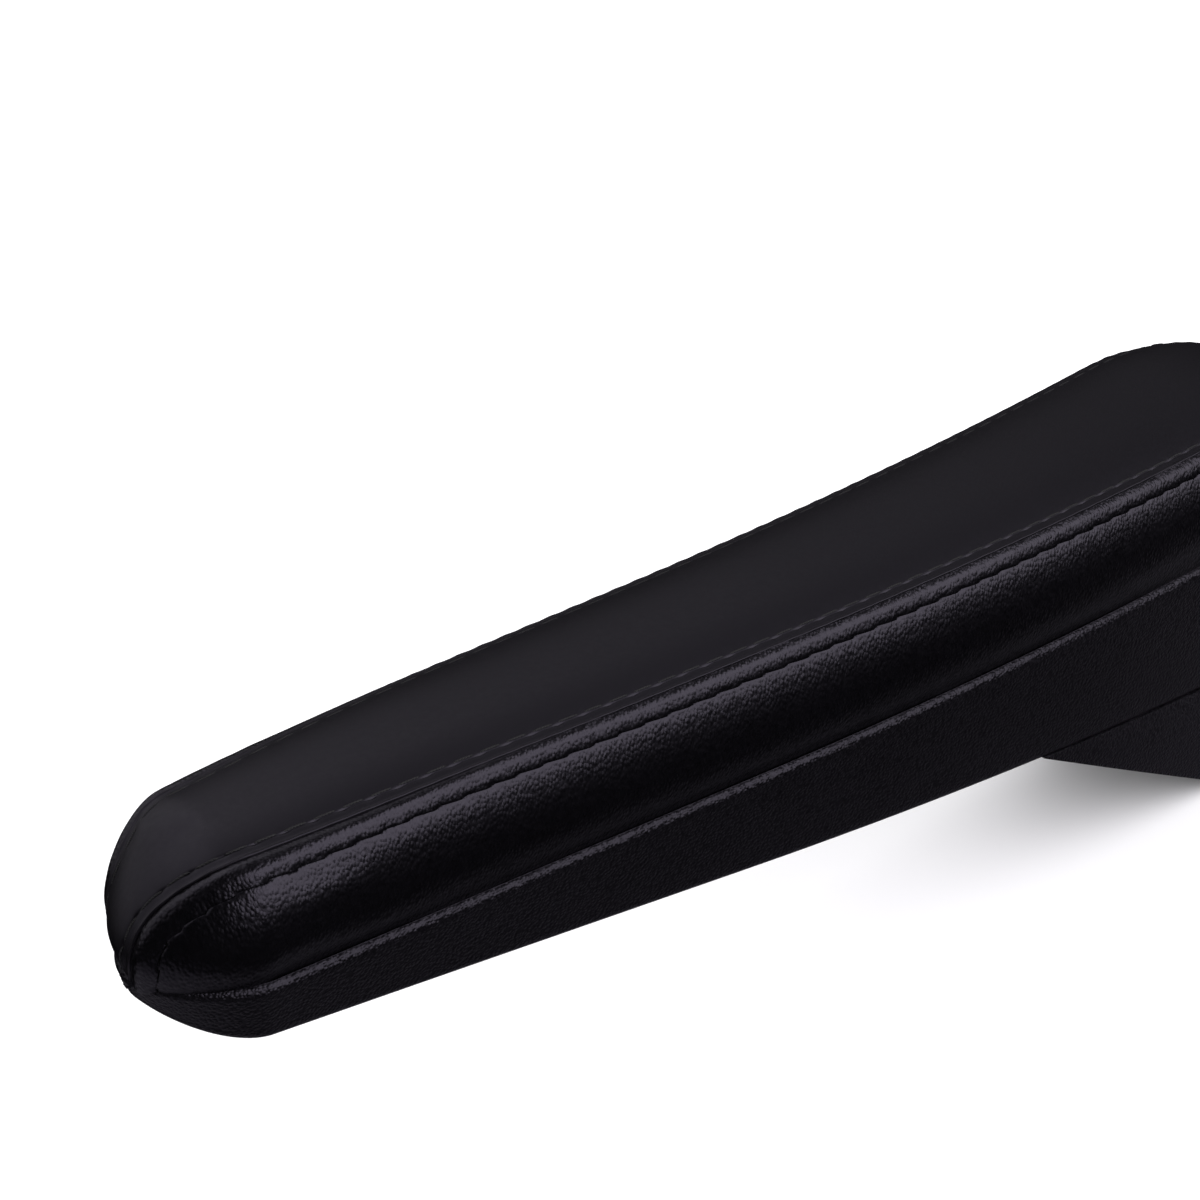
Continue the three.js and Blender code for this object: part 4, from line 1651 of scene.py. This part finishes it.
@dataclass
class Bracket:
    """The support bracket below the tray and everything that is screwed to it."""

    form: ArmForm
    finishes: Finishes
    round_edge: float = 0.4
    weld: float = 0.02
    flat_angle: float = 0.6
    edge_angle: float = 28.0
    sharp_angle: float = 32.0

    def rounded_copy(self, node: str, name: str, width: float) -> bpy.types.Object:
        """A copy of a CAD node with its sharp edges rounded.

        Args:
            node: the CAD node.
            name: the new piece's name.
            width: the rounding, in millimetres.

        Returns:
            The new piece.
        """
        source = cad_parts[node]
        piece = bpy.data.objects.new(name, source.data.copy())
        bpy.context.scene.collection.objects.link(piece)
        weld = piece.modifiers.new("weld", "WELD")
        weld.merge_threshold = self.weld * MM
        flat = piece.modifiers.new("flat", "DECIMATE")
        flat.decimate_type = "DISSOLVE"
        flat.angle_limit = math.radians(self.flat_angle)
        edge = piece.modifiers.new("edge", "BEVEL")
        edge.width = width * MM
        edge.segments = 3
        edge.limit_method = "ANGLE"
        edge.angle_limit = math.radians(self.edge_angle)
        edge.use_clamp_overlap = True
        apply_modifiers(piece)
        piece.data.polygons.foreach_set("use_smooth", [True] * len(piece.data.polygons))
        piece.data.set_sharp_from_angle(angle=math.radians(self.sharp_angle))
        return piece

    def build(self) -> None:
        """Makes the bracket, with rounded edges."""
        bracket = self.rounded_copy("support_bracket", "rounded_bracket", self.round_edge)
        finish_piece(bracket, self.finishes.moulded, "moulding", "support_bracket")

    def dress(self) -> None:
        """Gives the CAD nodes that stay in sight their finishes."""
        zinc, coated = self.finishes.zinc, self.finishes.coated
        looks = {"tee_nut": zinc, "pad_screw": zinc, "foot_screw": zinc, "bracket_": zinc,
                 "screw_plug": self.finishes.moulded, "steel": coated, "foot_plate": coated,
                 "pad_board": self.finishes.board}
        for name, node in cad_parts.items():
            if node.hide_render:
                continue
            material = next((look for start, look in looks.items() if name.startswith(start)),
                            self.finishes.moulded)
            node.data.materials.clear()
            node.data.materials.append(material)
            LOG.info("%s: %s", name, material.name)


# ---------------------------------------------------------------------------------------- studio


@dataclass
class Studio:
    """Pale floor, soft lights and the camera."""

    aim: tuple[float, float, float] = (-0.2331, -0.0144, 0.1210)
    distance: float = 0.6923
    azimuth: float = -40.5
    elevation: float = 28.0
    lens: float = 96.0
    floor_size: float = 14.0
    card: tuple[float, float, float, float] = (-0.5, 0.15, -0.06, 0.05)
    lamp_tint: Colour = (0.97, 0.94, 1.0)
    sky_strength: float = 1.25
    sensor: float = 36.0

    def build(self) -> None:
        """Sets the stage."""
        floor, card = self.build_floor(), self.build_card()
        self.build_lights()
        self.build_camera()

    @staticmethod
    def sheet(name: str, corners: Sequence[Colour], shader: Shader) -> bpy.types.Object:
        """A flat sheet.

        Args:
            name: its name.
            corners: its four corners, in metres.
            shader: what it is made of; its gloss is taken away.

        Returns:
            The new object, linked to the scene.
        """
        mesh = bpy.data.meshes.new(name)
        mesh.from_pydata(corners, [], [(0, 1, 2, 3)])
        shader.surface.inputs["Specular IOR Level"].default_value = 0.0
        mesh.materials.append(shader.material)
        sheet = bpy.data.objects.new(name, mesh)
        bpy.context.scene.collection.objects.link(sheet)
        return sheet

    def build_floor(self) -> bpy.types.Object:
        """Lays a plain pale floor.

        Returns:
            The floor.
        """
        half = self.floor_size / 2
        shader = Shader("pale_floor")
        shader.tint(shader.noise(3.0, 2.0), (0.86, 0.86, 0.87), (0.9, 0.9, 0.9))
        shader.surface.inputs["Roughness"].default_value = 0.9
        floor = self.sheet("floor", [(-half, -half, 0), (half, -half, 0), (half, half, 0),
                                     (-half, half, 0)], shader)
        floor.visible_glossy = False
        return floor

    def build_card(self) -> bpy.types.Object:
        """Lays a grey card below the arm, seen only in its reflections.

        Returns:
            The card.
        """
        x0, x1, y0, y1 = self.card
        shader = Shader("card")
        shader.tint(shader.noise(5.0, 2.0), (0.09, 0.085, 0.1), (0.11, 0.105, 0.12))
        card = self.sheet("bounce_card", [(x0, y0, MM), (x1, y0, MM), (x1, y1, MM), (x0, y1, MM)],
                          shader)
        card.visible_camera = card.visible_diffuse = card.visible_shadow = False
        return card

    def lamp(self, name: str, azimuth: float, elevation: float, far: float,
             size: tuple[float, float], radiance: float,
             target: tuple[float, float, float] = (-0.17, 0.0, 0.09)) -> None:
        """A rectangular soft light.

        Args:
            name: the lamp's name.
            azimuth: where it stands, in degrees; 0 is in front of the outer side, 90 at the rear end.
            elevation: its height angle in degrees.
            far: its distance in metres.
            size: its width and height in metres.
            radiance: how bright its face is; the pale floor is about 1.
            target: where it points.
        """
        data = bpy.data.lights.new(name, "AREA")
        data.shape = "RECTANGLE"
        data.size, data.size_y = size
        data.color = self.lamp_tint
        data.energy = radiance * math.pi * size[0] * size[1]
        light = bpy.data.objects.new(name, data)
        a, e = math.radians(azimuth), math.radians(elevation)
        direction = Vector((math.sin(a) * math.cos(e), -math.cos(a) * math.cos(e), math.sin(e)))
        light.location = Vector(target) + direction * far
        light.rotation_mode = "QUATERNION"
        light.rotation_quaternion = direction.to_track_quat("Z", "Y")
        bpy.context.scene.collection.objects.link(light)

    def build_lights(self) -> None:
        """Key from the front right, a large top light behind, and even light on the floor."""
        self.lamp("key", 22.0, 33.0, 1.5, (3.0, 1.5), 2.0)
        self.lamp("back", 138.0, 38.0, 1.8, (3.2, 1.9), 0.088)
        self.lamp("crown", 182.0, 58.0, 1.8, (3.0, 1.6), 0.42)
        self.lamp("side", -150.0, 28.0, 1.8, (3.0, 2.2), 0.44)
        world = bpy.data.worlds.new("studio")
        bpy.context.scene.world = world
        world.use_nodes = True
        sky = world.node_tree.nodes["Background"]
        sky.inputs["Color"].default_value = (1.0, 1.0, 1.0, 1.0)
        sky.inputs["Strength"].default_value = self.sky_strength
        world.cycles_visibility.glossy = False
        bpy.context.scene.view_settings.view_transform = "Standard"

    def build_camera(self) -> None:
        """The camera, looking down the arm from its nose and outer side."""
        data = bpy.data.cameras.new("camera")
        data.lens = self.lens
        data.sensor_width = self.sensor
        data.clip_start, data.clip_end = 0.01, 50.0
        camera = bpy.data.objects.new("camera", data)
        a, e = math.radians(self.azimuth), math.radians(self.elevation)
        back = Vector((math.sin(a) * math.cos(e), -math.cos(a) * math.cos(e), math.sin(e)))
        camera.location = Vector(self.aim) + back * self.distance
        camera.rotation_mode = "QUATERNION"
        camera.rotation_quaternion = back.to_track_quat("Z", "Y")
        bpy.context.scene.collection.objects.link(camera)
        bpy.context.scene.camera = camera


def main() -> None:
    """Builds the stage and the arm's sub-assemblies in order."""
    logging.basicConfig(level=logging.INFO, format="%(name)s: %(message)s")
    Studio().build()
    form = ArmForm()
    finishes = Finishes()
    Upholstery(form, finishes).build()
    Tray(form, finishes).build()
    bracket = Bracket(form, finishes)
    bracket.build()
    bracket.dress()


if __name__ == "__main__":
    main()
